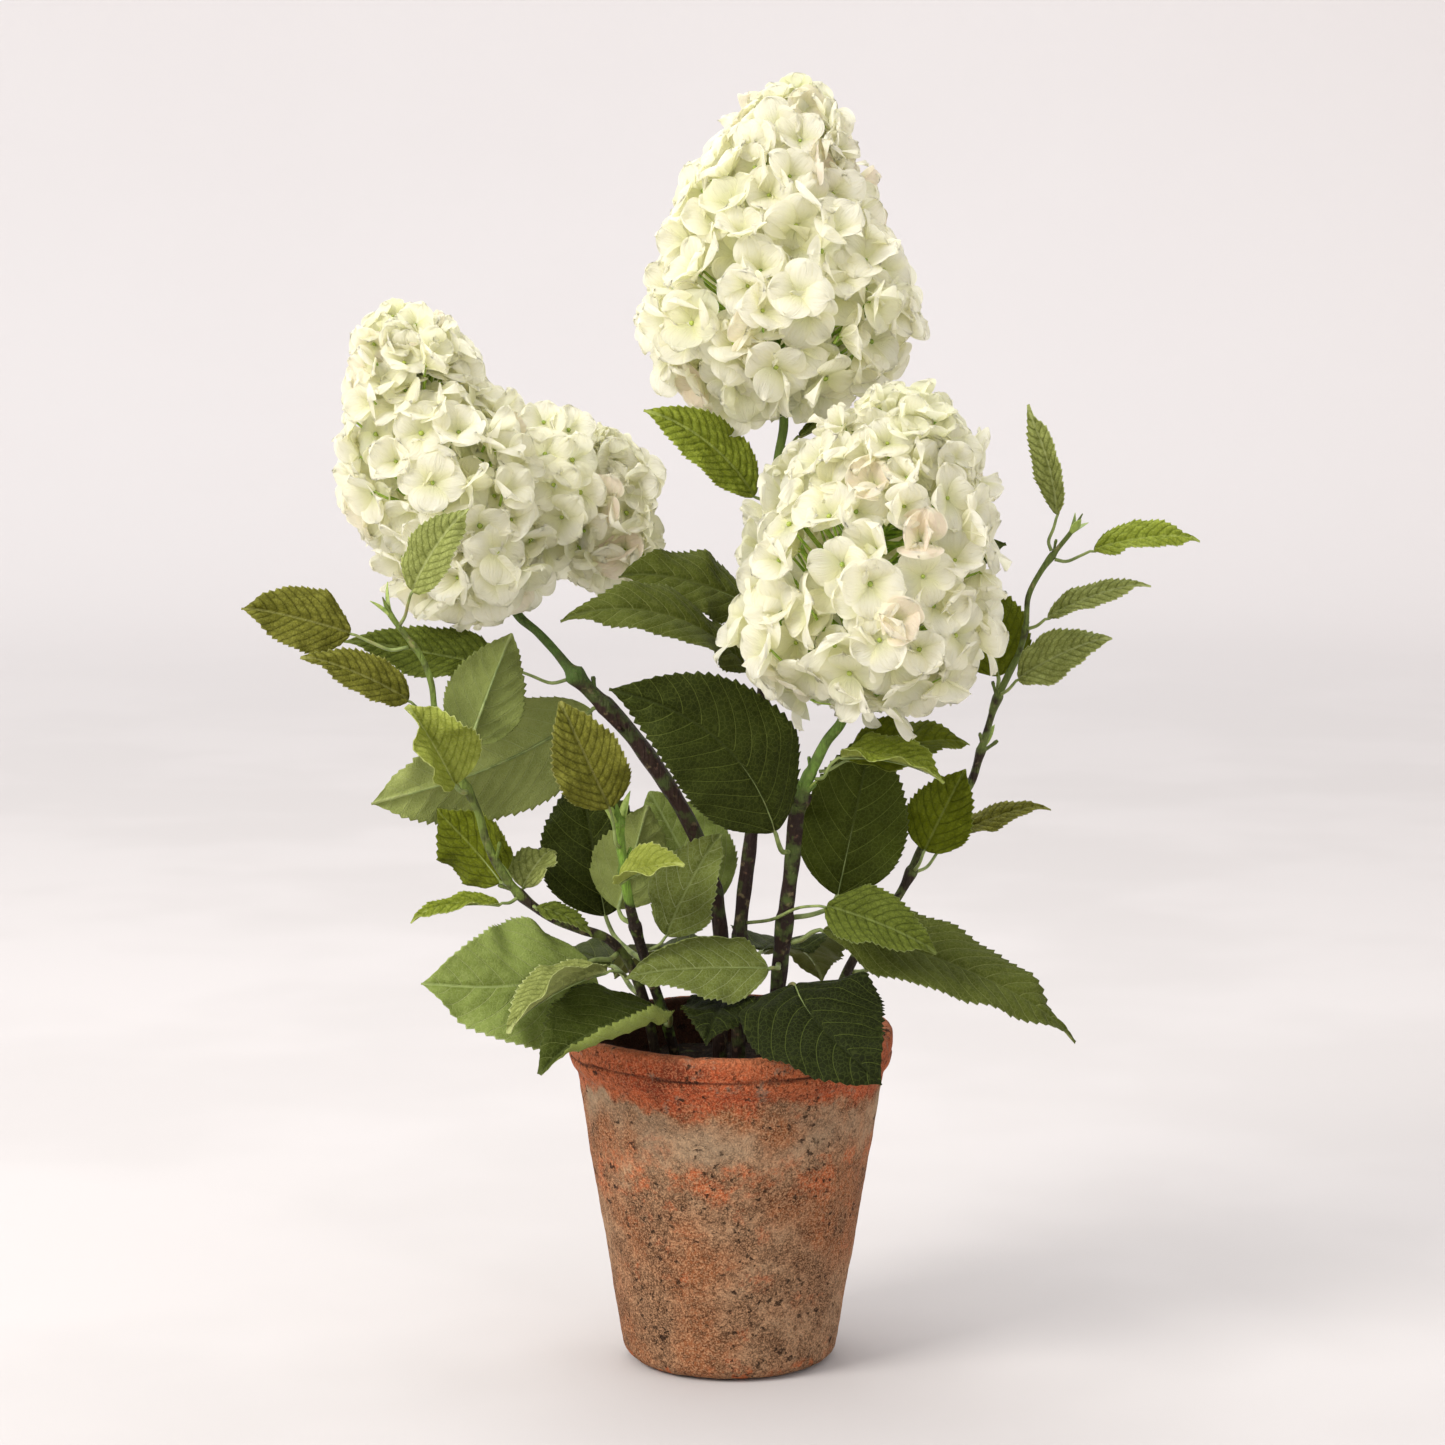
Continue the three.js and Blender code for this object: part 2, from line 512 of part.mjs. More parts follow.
function potGeometry() {
  const outline = new THREE.Path();
  outline.moveTo(0, 0);
  outline.lineTo(BASE_RADIUS - BASE_ROUNDING, 0);
  outline.quadraticCurveTo(BASE_RADIUS, 0, wallRadius(BASE_ROUNDING), BASE_ROUNDING);
  outline.lineTo(wallRadius(SHOULDER), SHOULDER);
  const bandFoot = POT_HEIGHT - RIM_BAND;
  outline.quadraticCurveTo(RIM_RADIUS, bandFoot - RIM_STEP, RIM_RADIUS, bandFoot);
  outline.lineTo(RIM_RADIUS, POT_HEIGHT - LIP_ROUNDING);
  outline.quadraticCurveTo(RIM_RADIUS, POT_HEIGHT, RIM_RADIUS - LIP_ROUNDING, POT_HEIGHT);
  outline.lineTo(RIM_RADIUS - WALL + LIP_ROUNDING, POT_HEIGHT);
  outline.quadraticCurveTo(RIM_RADIUS - WALL, POT_HEIGHT, RIM_RADIUS - WALL, POT_HEIGHT - LIP_ROUNDING);
  outline.lineTo(wallRadius(bandFoot) - WALL, bandFoot - RIM_BAND);
  outline.lineTo(wallRadius(FLOOR) - WALL, FLOOR);
  outline.lineTo(0, FLOOR);
  return new THREE.LatheGeometry(outline.getPoints(CURVE_STEPS), POT_SIDES).rotateX(Math.PI / 2);
}

// The fill's top is a low mound with lumps; the sides stay just clear of the pot.
function fillGeometry() {
  const wallTop = wallRadius(FILL_TOP) - WALL - WALL_GAP - FILL_INSET;
  const profile = [
    new THREE.Vector2(0, FLOOR + WALL_GAP),
    new THREE.Vector2(wallRadius(FLOOR) - WALL - WALL_GAP, FLOOR + WALL_GAP),
    new THREE.Vector2(wallTop, FILL_TOP),
  ];
  for (const share of FILL_RINGS) {
    const lump = share === LUMPY_RING ? FILL_LUMP : 0;
    profile.push(new THREE.Vector2(wallTop * share, FILL_TOP + FILL_CROWN * (1 - share * share) + lump));
  }
  profile.push(new THREE.Vector2(0, FILL_TOP + FILL_CROWN));
  return new THREE.LatheGeometry(profile, POT_SIDES / 2).rotateX(Math.PI / 2);
}

// ---------------------------------------------------------------- booleans

const manifold = await Module();
manifold.setup();

function toSolid(geometry) {
  const bare = geometry.clone();
  bare.deleteAttribute("normal");
  bare.deleteAttribute("uv");
  const merged = mergeVertices(bare, WELD);
  return new manifold.Manifold(
    new manifold.Mesh({
      numProp: 3,
      vertProperties: merged.attributes.position.array,
      triVerts: new Uint32Array(merged.index.array),
    }),
  );
}

function toGeometry(solid) {
  const mesh = solid.getMesh();
  const geometry = new THREE.BufferGeometry();
  geometry.setAttribute("position", new THREE.BufferAttribute(mesh.vertProperties, 3));
  geometry.setIndex(new THREE.BufferAttribute(mesh.triVerts, 1));
  return geometry;
}

// ---------------------------------------------------------------- assembly

const plant = new THREE.Group();
plant.name = "potted_hydrangea";

plant.add(piece("pot", potGeometry(), "terracotta", 0.95));

let fill = toSolid(fillGeometry());
for (const stem of Object.values(STEMS)) {
  fill = fill.subtract(toSolid(stemGeometry(stem, FIT_GAP)));
}
plant.add(piece("potting_fill", toGeometry(fill), "fill", 1));

for (const [name, stem] of Object.entries(STEMS)) {
  plant.add(piece(name, stemGeometry(stem), stem.colour, 0.6));
}

for (const [name, head] of Object.entries(HEADS)) {
  const stem = Object.values(STEMS).find((one) => one.head === name);
  const socket = stem ? stem.points[stem.points.length - 1][3] + SOCKET_CLEARANCE : 0;
  plant.add(piece(name, headGeometry(head, socket), "petals", 0.8));
}

for (const [stemName, leaves] of Object.entries(LEAVES)) {
  leaves.forEach((leaf, index) => {
    const name = `${stemName}_leaf_${index + 1}`;
    plant.add(piece(name, leafGeometry(STEMS[stemName], leaf), leaf.kind, 0.75));
  });
}

RIM_LEAVES.forEach((leaf, index) => {
  plant.add(piece(`rim_leaf_${index + 1}`, leafGeometry(STEMS[leaf.stem], leaf), leaf.kind, 0.75));
});

export default plant;
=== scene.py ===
import math
import random

import bpy
import numpy as np
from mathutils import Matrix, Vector, noise


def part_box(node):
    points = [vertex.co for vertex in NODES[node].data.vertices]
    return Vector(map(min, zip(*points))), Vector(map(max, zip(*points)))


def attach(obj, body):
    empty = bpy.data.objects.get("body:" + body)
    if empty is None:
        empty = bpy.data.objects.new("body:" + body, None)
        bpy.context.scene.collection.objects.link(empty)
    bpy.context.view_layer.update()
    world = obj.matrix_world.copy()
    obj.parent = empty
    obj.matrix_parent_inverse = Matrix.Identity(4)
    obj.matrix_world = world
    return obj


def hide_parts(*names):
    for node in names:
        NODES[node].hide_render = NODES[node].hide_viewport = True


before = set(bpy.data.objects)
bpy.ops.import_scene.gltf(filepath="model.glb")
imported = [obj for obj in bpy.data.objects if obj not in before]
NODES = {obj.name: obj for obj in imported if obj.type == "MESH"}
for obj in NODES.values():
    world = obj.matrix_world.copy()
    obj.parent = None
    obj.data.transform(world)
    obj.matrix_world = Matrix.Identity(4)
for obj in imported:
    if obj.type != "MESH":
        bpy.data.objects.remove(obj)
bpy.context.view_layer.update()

# A decorative panicle hydrangea in an old clay pot: woven leaves and petals on sheathed wire stems.
# Lengths in the tables below are millimetres; everything that is placed is in metres.

MM = 0.001
UP = np.array([0.0, 0.0, 1.0])


# ---------------------------------------------------------------- materials: shared tools

def linear(code):
    """An sRGB hex colour as the linear colour that the shaders take."""
    parts = [int(code[i:i + 2], 16) / 255 for i in (1, 3, 5)]
    return tuple(c / 12.92 if c <= 0.04045 else ((c + 0.055) / 1.055) ** 2.4 for c in parts) + (1.0,)


def node(tree, kind, inputs=None, **settings):
    """Adds a shader node: settings are its properties, inputs its values or links by name or number."""
    made = tree.nodes.new("ShaderNode" + kind)
    for key, value in settings.items():
        setattr(made, key, value)
    for key, value in (inputs or {}).items():
        if isinstance(value, bpy.types.NodeSocket):
            tree.links.new(value, made.inputs[key])
        else:
            made.inputs[key].default_value = value
    return made


def new_material(name):
    """An empty node material and its tree."""
    material = bpy.data.materials.new(name)
    material.use_nodes = True
    material.node_tree.nodes.clear()
    return material, material.node_tree


def grains(tree, place, size, low, high, detail=3.0, rough=0.55):
    """A 0 to 1 mask from cloudy grains of that size in millimetres, cut between low and high."""
    clouds = node(tree, "TexNoise", {"Vector": place, "Scale": 1 / (size * MM), "Detail": detail,
                                     "Roughness": rough})
    cut = node(tree, "MapRange", {"Value": clouds.outputs[0], "From Min": low, "From Max": high},
               interpolation_type="SMOOTHSTEP")
    return cut.outputs[0]


def band(tree, value, start, end):
    """A 0 to 1 mask that rises smoothly while the value goes from start to end."""
    return node(tree, "MapRange", {"Value": value, "From Min": start, "From Max": end},
                interpolation_type="SMOOTHSTEP").outputs[0]


def both(tree, first, second, how="MULTIPLY"):
    """Two values joined by arithmetic."""
    return node(tree, "Math", {0: first, 1: second}, operation=how).outputs[0]


def layered(tree, base, layers):
    """A base colour with further colours laid over it, each through its own mask."""
    colour = linear(base) if isinstance(base, str) else base
    for code, mask in layers:
        over = linear(code) if isinstance(code, str) else code
        colour = node(tree, "Mix", {0: mask, 6: colour, 7: over}, data_type="RGBA").outputs[2]
    return colour


def surface(tree, colour, roughness, bumps=(), through=0.0, glow_colour=None, **sockets):
    """The finished surface. bumps are (height, millimetres).

    through is the share of light that the material lets through, tinted with the glow colour.
    """
    normal = None
    for height, depth in bumps:
        inputs = {"Height": height, "Distance": depth * MM, "Strength": 1.0}
        if normal is not None:
            inputs["Normal"] = normal
        normal = node(tree, "Bump", inputs).outputs[0]
    inputs = {"Base Color": colour, "Roughness": roughness}
    inputs.update({key.replace("_", " "): value for key, value in sockets.items()})
    if normal is not None:
        inputs["Normal"] = normal
    shader = node(tree, "BsdfPrincipled", inputs).outputs[0]
    if through:
        inner = {"Color": glow_colour or colour}
        if normal is not None:
            inner["Normal"] = normal
        glow = node(tree, "BsdfTranslucent", inner).outputs[0]
        shader = node(tree, "MixShader", {0: through, 1: shader, 2: glow}).outputs[0]
    node(tree, "OutputMaterial", {"Surface": shader})


def place_of(tree):
    """Places on the object, in metres, for patterns that belong to the material."""
    return node(tree, "TexCoord").outputs["Object"]


def split(tree, name):
    """The three numbers of a named point value that the mesh carries."""
    read = node(tree, "Attribute", attribute_name=name, attribute_type="GEOMETRY")
    return node(tree, "SeparateXYZ", {0: read.outputs["Vector"]}).outputs


# ---------------------------------------------------------------- materials: leaves

# Polyester cloth, printed and heat-pressed over a vein die, so the veins are sunk on the upper side
# and stand out on the paler back. Colours: upper side, back, vein; then how deep the quilting is
# pressed (mm), how far apart the side veins are (mm), and the share of light that comes through.
LEAF_FINISHES = {
    # The next finish is the smooth cloth darkened to near black green: painted shade for leaves that lie in
    # shadow.
    "shade_smooth": ("#1A2003", "#4C541F", "#5F6B30", 1.0, 11.0, 0.05),
    "dark_smooth": ("#2B3305", "#59622A", "#6F7A38", 1.0, 11.0, 0.08),
    "lush_smooth": ("#363F05", "#5F682A", "#74803C", 1.0, 11.0, 0.10),
    "mid_smooth": ("#3B4510", "#7A853E", "#7C8648", 1.0, 11.0, 0.10),
    "light_smooth": ("#7C8B42", "#9CA65E", "#A9B274", 0.9, 11.0, 0.12),
    "olive_smooth": ("#4B5318", "#8C9554", "#8A9152", 1.0, 9.5, 0.12),
    "grey_smooth": ("#636D2F", "#7C8646", "#A9B17A", 0.9, 9.5, 0.10),
    "olive_quilted": ("#737327", "#777830", "#454611", 1.6, 5.6, 0.12),
    "mid_quilted": ("#5C6720", "#7E893E", "#3C4513", 1.6, 5.8, 0.10),
    "pale_quilted": ("#949C55", "#9DA55E", "#666E30", 1.35, 5.0, 0.12),
    "bright_quilted": ("#8B9732", "#9CA64A", "#5C6A1A", 1.7, 5.4, 0.16),
    "lime_folded": ("#9EA648", "#AAB25C", "#7C8634", 0.90, 5.4, 0.25),
    "lit_olive": ("#69730C", "#727C12", "#3F4606", 0.90, 6.4, 0.30),
}

# Closer side veins than this (mm) mean a blade that is quilted all over.
QUILTED_BELOW = 8


def leaf_cloth(name):
    """Pressed polyester leaf cloth: matt, with pale thin veins, a woven grain and a pale cut edge."""
    upper, back, vein, _, spacing, through = LEAF_FINISHES[name]
    material, tree = new_material("polyester_leaf_" + name)
    place = place_of(tree)
    across, along, phase = split(tree, "vein")
    out, under, own = split(tree, "blade")

    # Side veins lie where the phase is a whole number. The distance to them is in millimetres.
    nearest = node(tree, "Math", {0: phase, 1: 0.5}, operation="PINGPONG").outputs[0]
    side_gap = both(tree, nearest, spacing)
    side_vein = band(tree, side_gap, 0.42, 0.10)
    groove = band(tree, side_gap, 1.3, 0.15)
    mid_gap = node(tree, "Math", {0: across}, operation="ABSOLUTE").outputs[0]
    midrib = band(tree, mid_gap, 0.9, 0.3)
    # Folds pressed across the strips between the side veins, about 4 mm apart, staggered strip by strip.
    row = node(tree, "Math", {0: phase}, operation="FLOOR").outputs[0]
    fold_at = both(tree, both(tree, mid_gap, 1 / 4.0), both(tree, row, 0.37), "ADD")
    fold_gap = both(tree, node(tree, "Math", {0: fold_at, 1: 0.5}, operation="PINGPONG").outputs[0], 4.0)
    fold = band(tree, fold_gap, 1.1, 0.15)
    flat = node(tree, "CombineXYZ", {0: across, 1: along, 2: own}).outputs[0]
    # The finest veins make a net of about 2.4 mm meshes.
    net = node(tree, "TexVoronoi", {"Vector": flat, "Scale": 1 / 2.4}, feature="DISTANCE_TO_EDGE")
    net_vein = band(tree, net.outputs[0], 0.11, 0.02)

    # The weave has a 0.3 mm pitch, drawn as 0.8 mm flecks so that it shows at all.
    weave = node(tree, "TexNoise", {"Vector": place, "Scale": 1 / (0.8 * MM), "Detail": 2.0}).outputs[0]
    fleck = band(tree, weave, 0.42, 0.66)
    cloud = grains(tree, place, 24, 0.38, 0.66)
    mottle = grains(tree, place, 5, 0.4, 0.66, 4.0)
    fade = band(tree, out, 0.3, 1.0)

    def tinted(colour, bright, strong=1.0):
        return node(tree, "HueSaturation", {"Color": linear(colour), "Value": bright,
                                            "Saturation": strong}).outputs[0]

    pressed = spacing < QUILTED_BELOW
    top = layered(tree, upper, [
        (tinted(upper, 0.5, 1.1), both(tree, cloud, 0.6)),
        (tinted(upper, 1.45, 0.95), both(tree, mottle, 0.35)),
        (tinted(upper, 1.6, 0.85), both(tree, fleck, 0.28)),
        (tinted(upper, 1.3, 0.95), both(tree, fade, 0.2)),
        (vein, both(tree, net_vein, 0.35 if pressed else 0.16)),
        # On quilted cloth the dark vein colour is laid in the grooves beside the side veins and along the
        # cross folds: painted shade in the creases.
        (vein, both(tree, groove, 0.34 if pressed else 0.0)),
        (vein, both(tree, fold, 0.34 if pressed else 0.0)),
        (vein, both(tree, side_vein, 0.4 if pressed else 0.55)),
        (tinted(upper, 1.9, 0.8), both(tree, midrib, 0.55)),
        (tinted(upper, 2.3, 0.7), both(tree, band(tree, out, 0.975, 0.995), 0.5)),
    ])
    lower = layered(tree, back, [
        (tinted(back, 0.72, 1.05), both(tree, cloud, 0.5)),
        (tinted(back, 1.25, 0.95), both(tree, mottle, 0.3)),
        (tinted(back, 1.3, 0.9), both(tree, fleck, 0.25)),
        (tinted(back, 1.2, 0.9), both(tree, net_vein, 0.3)),
        (tinted(back, 1.4, 0.85), both(tree, side_vein, 0.5)),
        (tinted(back, 1.5, 0.85), both(tree, midrib, 0.8)),
    ])
    colour = layered(tree, top, [(lower, under)])
    # Veins are sunk on the upper side: the height falls over them. The weave is barely felt.
    dip = both(tree, both(tree, side_vein, 0.6), both(tree, net_vein, 0.3), "ADD")
    height = both(tree, both(tree, fleck, 0.35), dip, "SUBTRACT")
    surface(tree, colour, 0.6, [(height, 0.35)], through,
            tinted(upper, 1.7, 1.25), Specular_IOR_Level=0.09)
    return material


def leaf_stalk_plastic():
    """Moulded polyethylene stalk: smooth yellow-green with a dull shine, browner where it was handled."""
    material, tree = new_material("moulded_stalk_polyethylene")
    place = place_of(tree)
    colour = layered(tree, "#8C9B58", [
        ("#6A7A3C", grains(tree, place, 6, 0.4, 0.65)),
        ("#8A6E48", both(tree, grains(tree, place, 14, 0.55, 0.75), 0.6)),
    ])
    surface(tree, colour, 0.48, [(grains(tree, place, 1.2, 0.3, 0.7), 0.12)])
    return material


# ---------------------------------------------------------------- materials: petals, stems, pot, fill

def petal_cloth(name, cream, lime, through):
    """Polyester petal cloth, dyed lime at the heart and left cream: matt and soft, it lets light through,
    with a painted highlight along its edges and painted shade on the florets deep in the head.
    """
    material, tree = new_material(name)
    place = place_of(tree)
    out, across, own = split(tree, "petal")
    green, blush, deep = split(tree, "floret")
    # Fine ribs pressed outwards from the heart, about 1 mm apart at the rim.
    ribs_at = node(tree, "CombineXYZ", {0: both(tree, across, 7.0), 1: both(tree, out, 1.6),
                                        2: both(tree, own, 40.0)})
    ribs = node(tree, "TexNoise", {"Vector": ribs_at.outputs[0], "Scale": 1.6, "Detail": 2.0}).outputs[0]
    rib = band(tree, ribs, 0.5, 0.68)
    heart = band(tree, out, 0.7, 0.05)
    edge = node(tree, "Math", {0: across}, operation="ABSOLUTE").outputs[0]
    rim = band(tree, both(tree, edge, out, "MAXIMUM"), 0.9, 1.0)
    cloud = grains(tree, place, 16, 0.4, 0.7)
    colour = layered(tree, cream, [
        ("#F8F4E6", both(tree, cloud, 0.4)),
        (lime, both(tree, heart, 0.55)),
        ("#D3DB8C", both(tree, green, 0.7)),
        ("#F5DAD0", both(tree, blush, band(tree, out, 0.05, 0.6))),
        ("#EAE4CC", both(tree, rib, 0.45)),
        # Florets deep in the head are darkened to a dull yellow green: painted shade in the depth of the
        # head.
        ("#DDDB9C", both(tree, deep, 0.65)),
        # The outer rim of each petal is lightened nearly to white: a painted highlight along the edges.
        ("#FFFDF2", both(tree, both(tree, rim, out), 0.8)),
    ])
    surface(tree, colour, 0.72, [(ribs, 0.6), (grains(tree, place, 1.0, 0.3, 0.7), 0.05)], through,
            linear("#FFFEE8"), Specular_IOR_Level=0.2, Sheen_Weight=0.15, Sheen_Roughness=0.5)
    return material


def green_plastic(name, light, dark):
    """Moulded polyethylene of the flower stalks and buds: bright green with a soft shine."""
    material, tree = new_material(name)
    place = place_of(tree)
    colour = layered(tree, light, [(dark, grains(tree, place, 4, 0.4, 0.66))])
    surface(tree, colour, 0.45, [(grains(tree, place, 1.0, 0.3, 0.7), 0.1)])
    return material


def stem_sheath(name, low, high, start, end, lean):
    """Moulded sheath over wire, sprayed from bark brown to green: ridged along, dull, patchy."""
    material, tree = new_material("sprayed_sheath_" + name)
    place = place_of(tree)
    height = node(tree, "SeparateXYZ", {0: place}).outputs[2]
    rise = band(tree, height, start * MM, end * MM)
    patchy = both(tree, grains(tree, place, 9, 0.3, 0.7), 0.5, "SUBTRACT")
    spray = node(tree, "Math", {0: rise, 1: both(tree, patchy, lean)}, operation="ADD",
                 use_clamp=True).outputs[0]
    # The ridges run along the stem, so the grain is stretched ten times upwards.
    long_grain = node(tree, "Mapping", {"Vector": place, "Scale": (1.0, 1.0, 0.1)}).outputs[0]
    ridge = grains(tree, long_grain, 1.3, 0.35, 0.65)
    colour = layered(tree, low, [
        ("#241712", both(tree, ridge, 0.55)),
        ("#7A5B48", both(tree, grains(tree, place, 3.5, 0.62, 0.76), 0.5)),
        (high, spray),
        ("#4E5A2C", both(tree, spray, both(tree, ridge, 0.45))),
        ("#9A8A62", both(tree, grains(tree, place, 5, 0.6, 0.74), 0.45)),
    ])
    surface(tree, colour, 0.6, [(ridge, 0.35), (grains(tree, place, 2.5, 0.3, 0.7), 0.25)],
            Specular_IOR_Level=0.25)
    return material


def old_terracotta(rim_line, foot):
    """Fired terracotta, thrown and long used: orange where rubbed, lime bloom on the wall, pitted."""
    material, tree = new_material("bloomed_terracotta")
    place = place_of(tree)
    height = node(tree, "SeparateXYZ", {0: place}).outputs[2]
    inside, crack, wear = split(tree, "pot")

    ragged = node(tree, "TexNoise", {"Vector": place, "Scale": 1 / (30 * MM), "Detail": 7.0,
                                     "Roughness": 0.7})
    raised = both(tree, both(tree, ragged.outputs[0], 0.5, "SUBTRACT"), 0.05)
    edge = both(tree, height, raised, "ADD")
    rim = band(tree, edge, rim_line - 0.005, rim_line + 0.003)
    sand = grains(tree, place, 0.9, 0.44, 0.60, 2.0)
    grit = grains(tree, place, 2.0, 0.46, 0.64, 4.0)
    coarse = grains(tree, place, 5.5, 0.50, 0.68, 5.0, 0.65)
    blotch = grains(tree, place, 26, 0.42, 0.64, 6.0, 0.68)
    cloudy = grains(tree, place, 55, 0.40, 0.62, 5.0)
    rubbed = grains(tree, place, 17, 0.56, 0.68, 6.0, 0.72)
    # A waist of rubbed clay runs round at two thirds of the height.
    waist = both(tree, band(tree, edge, 0.088, 0.104), band(tree, edge, 0.126, 0.112))

    body = layered(tree, "#8C5634", [
        ("#AD9070", both(tree, cloudy, 0.85)),
        ("#4F301B", both(tree, blotch, 0.8)),
        ("#B7633A", both(tree, waist, grains(tree, place, 21, 0.45, 0.6, 6.0, 0.72))),
        ("#AE5A33", both(tree, rubbed, 0.7)),
        ("#3A200D", both(tree, grit, 0.6)),
        ("#6B4A2E", both(tree, coarse, 0.45)),
        ("#CF9F76", both(tree, sand, 0.5)),
    ])
    bare = layered(tree, "#A74C2A", [
        ("#6F2B16", both(tree, blotch, 0.9)),
        ("#C97548", both(tree, cloudy, 0.5)),
        ("#54240F", both(tree, grit, 0.62)),
        ("#38200F", both(tree, grains(tree, place, 5, 0.56, 0.66, 5.0, 0.75), 0.8)),
        ("#7F6E5C", both(tree, grains(tree, place, 12, 0.55, 0.64, 6.0, 0.75), 0.75)),
        ("#DB8E63", both(tree, sand, 0.4)),
    ])
    # The foot is rubbed back to bright clay in spots; a pale tide mark follows the bare band.
    foot_edge = both(tree, band(tree, height, foot, foot - 0.006),
                     grains(tree, place, 13, 0.54, 0.62, 4.0, 0.7))
    tide = both(tree, band(tree, edge, rim_line - 0.034, rim_line - 0.010),
                band(tree, edge, rim_line, rim_line - 0.006))
    # Pits and gouges have ragged outlines: their cells are looked up from shifted places.
    shift = node(tree, "TexNoise", {"Vector": place, "Scale": 1 / (2.2 * MM),
                                    "Detail": 3.0}).outputs["Color"]
    shift = node(tree, "VectorMath", {0: shift, 1: (0.5, 0.5, 0.5)}, operation="SUBTRACT").outputs[0]
    shift = node(tree, "VectorMath", {0: shift, "Scale": 0.006}, operation="SCALE").outputs[0]
    torn = node(tree, "VectorMath", {0: place, 1: shift}, operation="ADD").outputs[0]
    pits = node(tree, "TexVoronoi", {"Vector": torn, "Scale": 1 / (5 * MM), "Randomness": 1.0})
    pit = both(tree, band(tree, pits.outputs[0], 0.26, 0.15), grains(tree, place, 24, 0.50, 0.56, 3.0))
    lying = node(tree, "Mapping", {"Vector": torn, "Scale": (1.0, 1.0, 2.1)}).outputs[0]
    gouges = node(tree, "TexVoronoi", {"Vector": lying, "Scale": 1 / (17 * MM), "Randomness": 1.0})
    gouge = both(tree, band(tree, gouges.outputs[0], 0.17, 0.10), grains(tree, place, 40, 0.47, 0.53, 2.0))
    colour = layered(tree, body, [
        ("#B39C7E", both(tree, tide, both(tree, cloudy, 0.6))),
        ("#C4683A", both(tree, foot_edge, 0.8)),
        (bare, rim),
        ("#D58E64", both(tree, wear, 0.3)),
        ("#33200F", both(tree, pit, 0.85)),
        ("#2A170C", both(tree, gouge, 0.88)),
        ("#23110A", crack),
        ("#2A1B12", both(tree, inside, 0.93)),
    ])
    dents = both(tree, pit, gouge, "MAXIMUM")
    relief = both(tree, both(tree, sand, 0.35), both(tree, grit, 0.65), "ADD")
    surface(tree, colour, 0.93, [(blotch, 0.8), (coarse, 0.5), (relief, 0.55),
                                 (both(tree, dents, -1.0), 1.4)], Specular_IOR_Level=0.2)
    return material


def potting_clay():
    """Dark clay with grit and shreds of moss pressed in, dull and crumbly."""
    material, tree = new_material("dark_potting_clay")
    place = place_of(tree)
    colour = layered(tree, "#2C2018", [
        ("#1A120D", grains(tree, place, 6, 0.4, 0.62, 4.0)),
        ("#54432F", both(tree, grains(tree, place, 3, 0.58, 0.7, 4.0), 0.8)),
        ("#5A6238", both(tree, grains(tree, place, 9, 0.6, 0.72, 5.0), 0.7)),
    ])
    surface(tree, colour, 0.95, [(grains(tree, place, 4, 0.3, 0.7, 5.0), 1.4)], Specular_IOR_Level=0.2)
    return material


def studio_paper():
    """Matt seamless background paper, warm pale grey, with painted light and shade: darker near the plant,
    lighter far from it and darker towards the right.
    """
    material, tree = new_material("seamless_paper")
    place = place_of(tree)
    away = node(tree, "VectorMath", {0: place}, operation="LENGTH").outputs["Value"]
    side = node(tree, "SeparateXYZ", {0: place}).outputs[0]
    colour = layered(tree, "#C3BFBD", [
        # Painted light and shade: the paper is darker near the plant and lighter towards the far wall,
        # against the fall of the lamps' light, and darker towards the right, away from the key.
        ("#E6E3E2", band(tree, away, 1.3, 4.2)),
        ("#C9C1BE", both(tree, band(tree, side, 0.2, 3.2), 0.7)),
        ("#E2DEDD", both(tree, grains(tree, place, 400, 0.4, 0.6), 0.15)),
    ])
    surface(tree, colour, 0.9, [(grains(tree, place, 1.0, 0.4, 0.6), 0.02)], Specular_IOR_Level=0.15)
    return material


# ---------------------------------------------------------------- meshes: shared tools

def unit(v):
    """v at length one."""
    return v / max(np.linalg.norm(v), 1e-12)


def square_to(v, axis):
    """The part of v square to the unit vector axis, at length one."""
    return unit(v - axis * np.dot(v, axis))


def make_piece(name, points, faces, materials, slots=None, values=None, stands_for=()):
    """A smooth-shaded piece that rides on the plant. values are named point values, three numbers each."""
    mesh = bpy.data.meshes.new(name)
    mesh.from_pydata([tuple(p) for p in points], [], [tuple(int(i) for i in f) for f in faces])
    for material in materials:
        mesh.materials.append(material)
    if slots is not None:
        mesh.polygons.foreach_set("material_index", np.asarray(slots, np.int32))
    mesh.polygons.foreach_set("use_smooth", np.ones(len(mesh.polygons), bool))
    for key, numbers in (values or {}).items():
        attribute = mesh.attributes.new(key, "FLOAT_VECTOR", "POINT")
        attribute.data.foreach_set("vector", np.asarray(numbers, np.float32).ravel())
    mesh.validate()
    mesh.update()
    made = bpy.data.objects.new(name, mesh)
    bpy.context.scene.collection.objects.link(made)
    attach(made, "root")
    if stands_for:
        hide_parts(*stands_for)
    return made


class Gathered:
    """Points, faces and material numbers of many small shapes that end up in one piece."""

    def __init__(self):
        self.parts, self.faces, self.slots, self.count = [], [], [], 0

    def add(self, points, faces, slot=0):
        self.faces += [[int(i) + self.count for i in f] for f in faces]
        self.slots += [slot] * len(faces)
        self.parts.append(points)
        self.count += len(points)

    def points(self):
        return np.concatenate(self.parts)


def point_values(shape, *numbers):
    """Three numbers for each point of a grid, each given as one number or as a part of the grid."""
    return np.stack([np.broadcast_to(n, shape) for n in numbers], 2).reshape(-1, 3)


def lumps(spot, sizes):
    """Lumps of several sizes added up, each given as height in millimetres and count to the metre."""
    return sum(height * noise.noise(spot * count) for height, count in sizes)


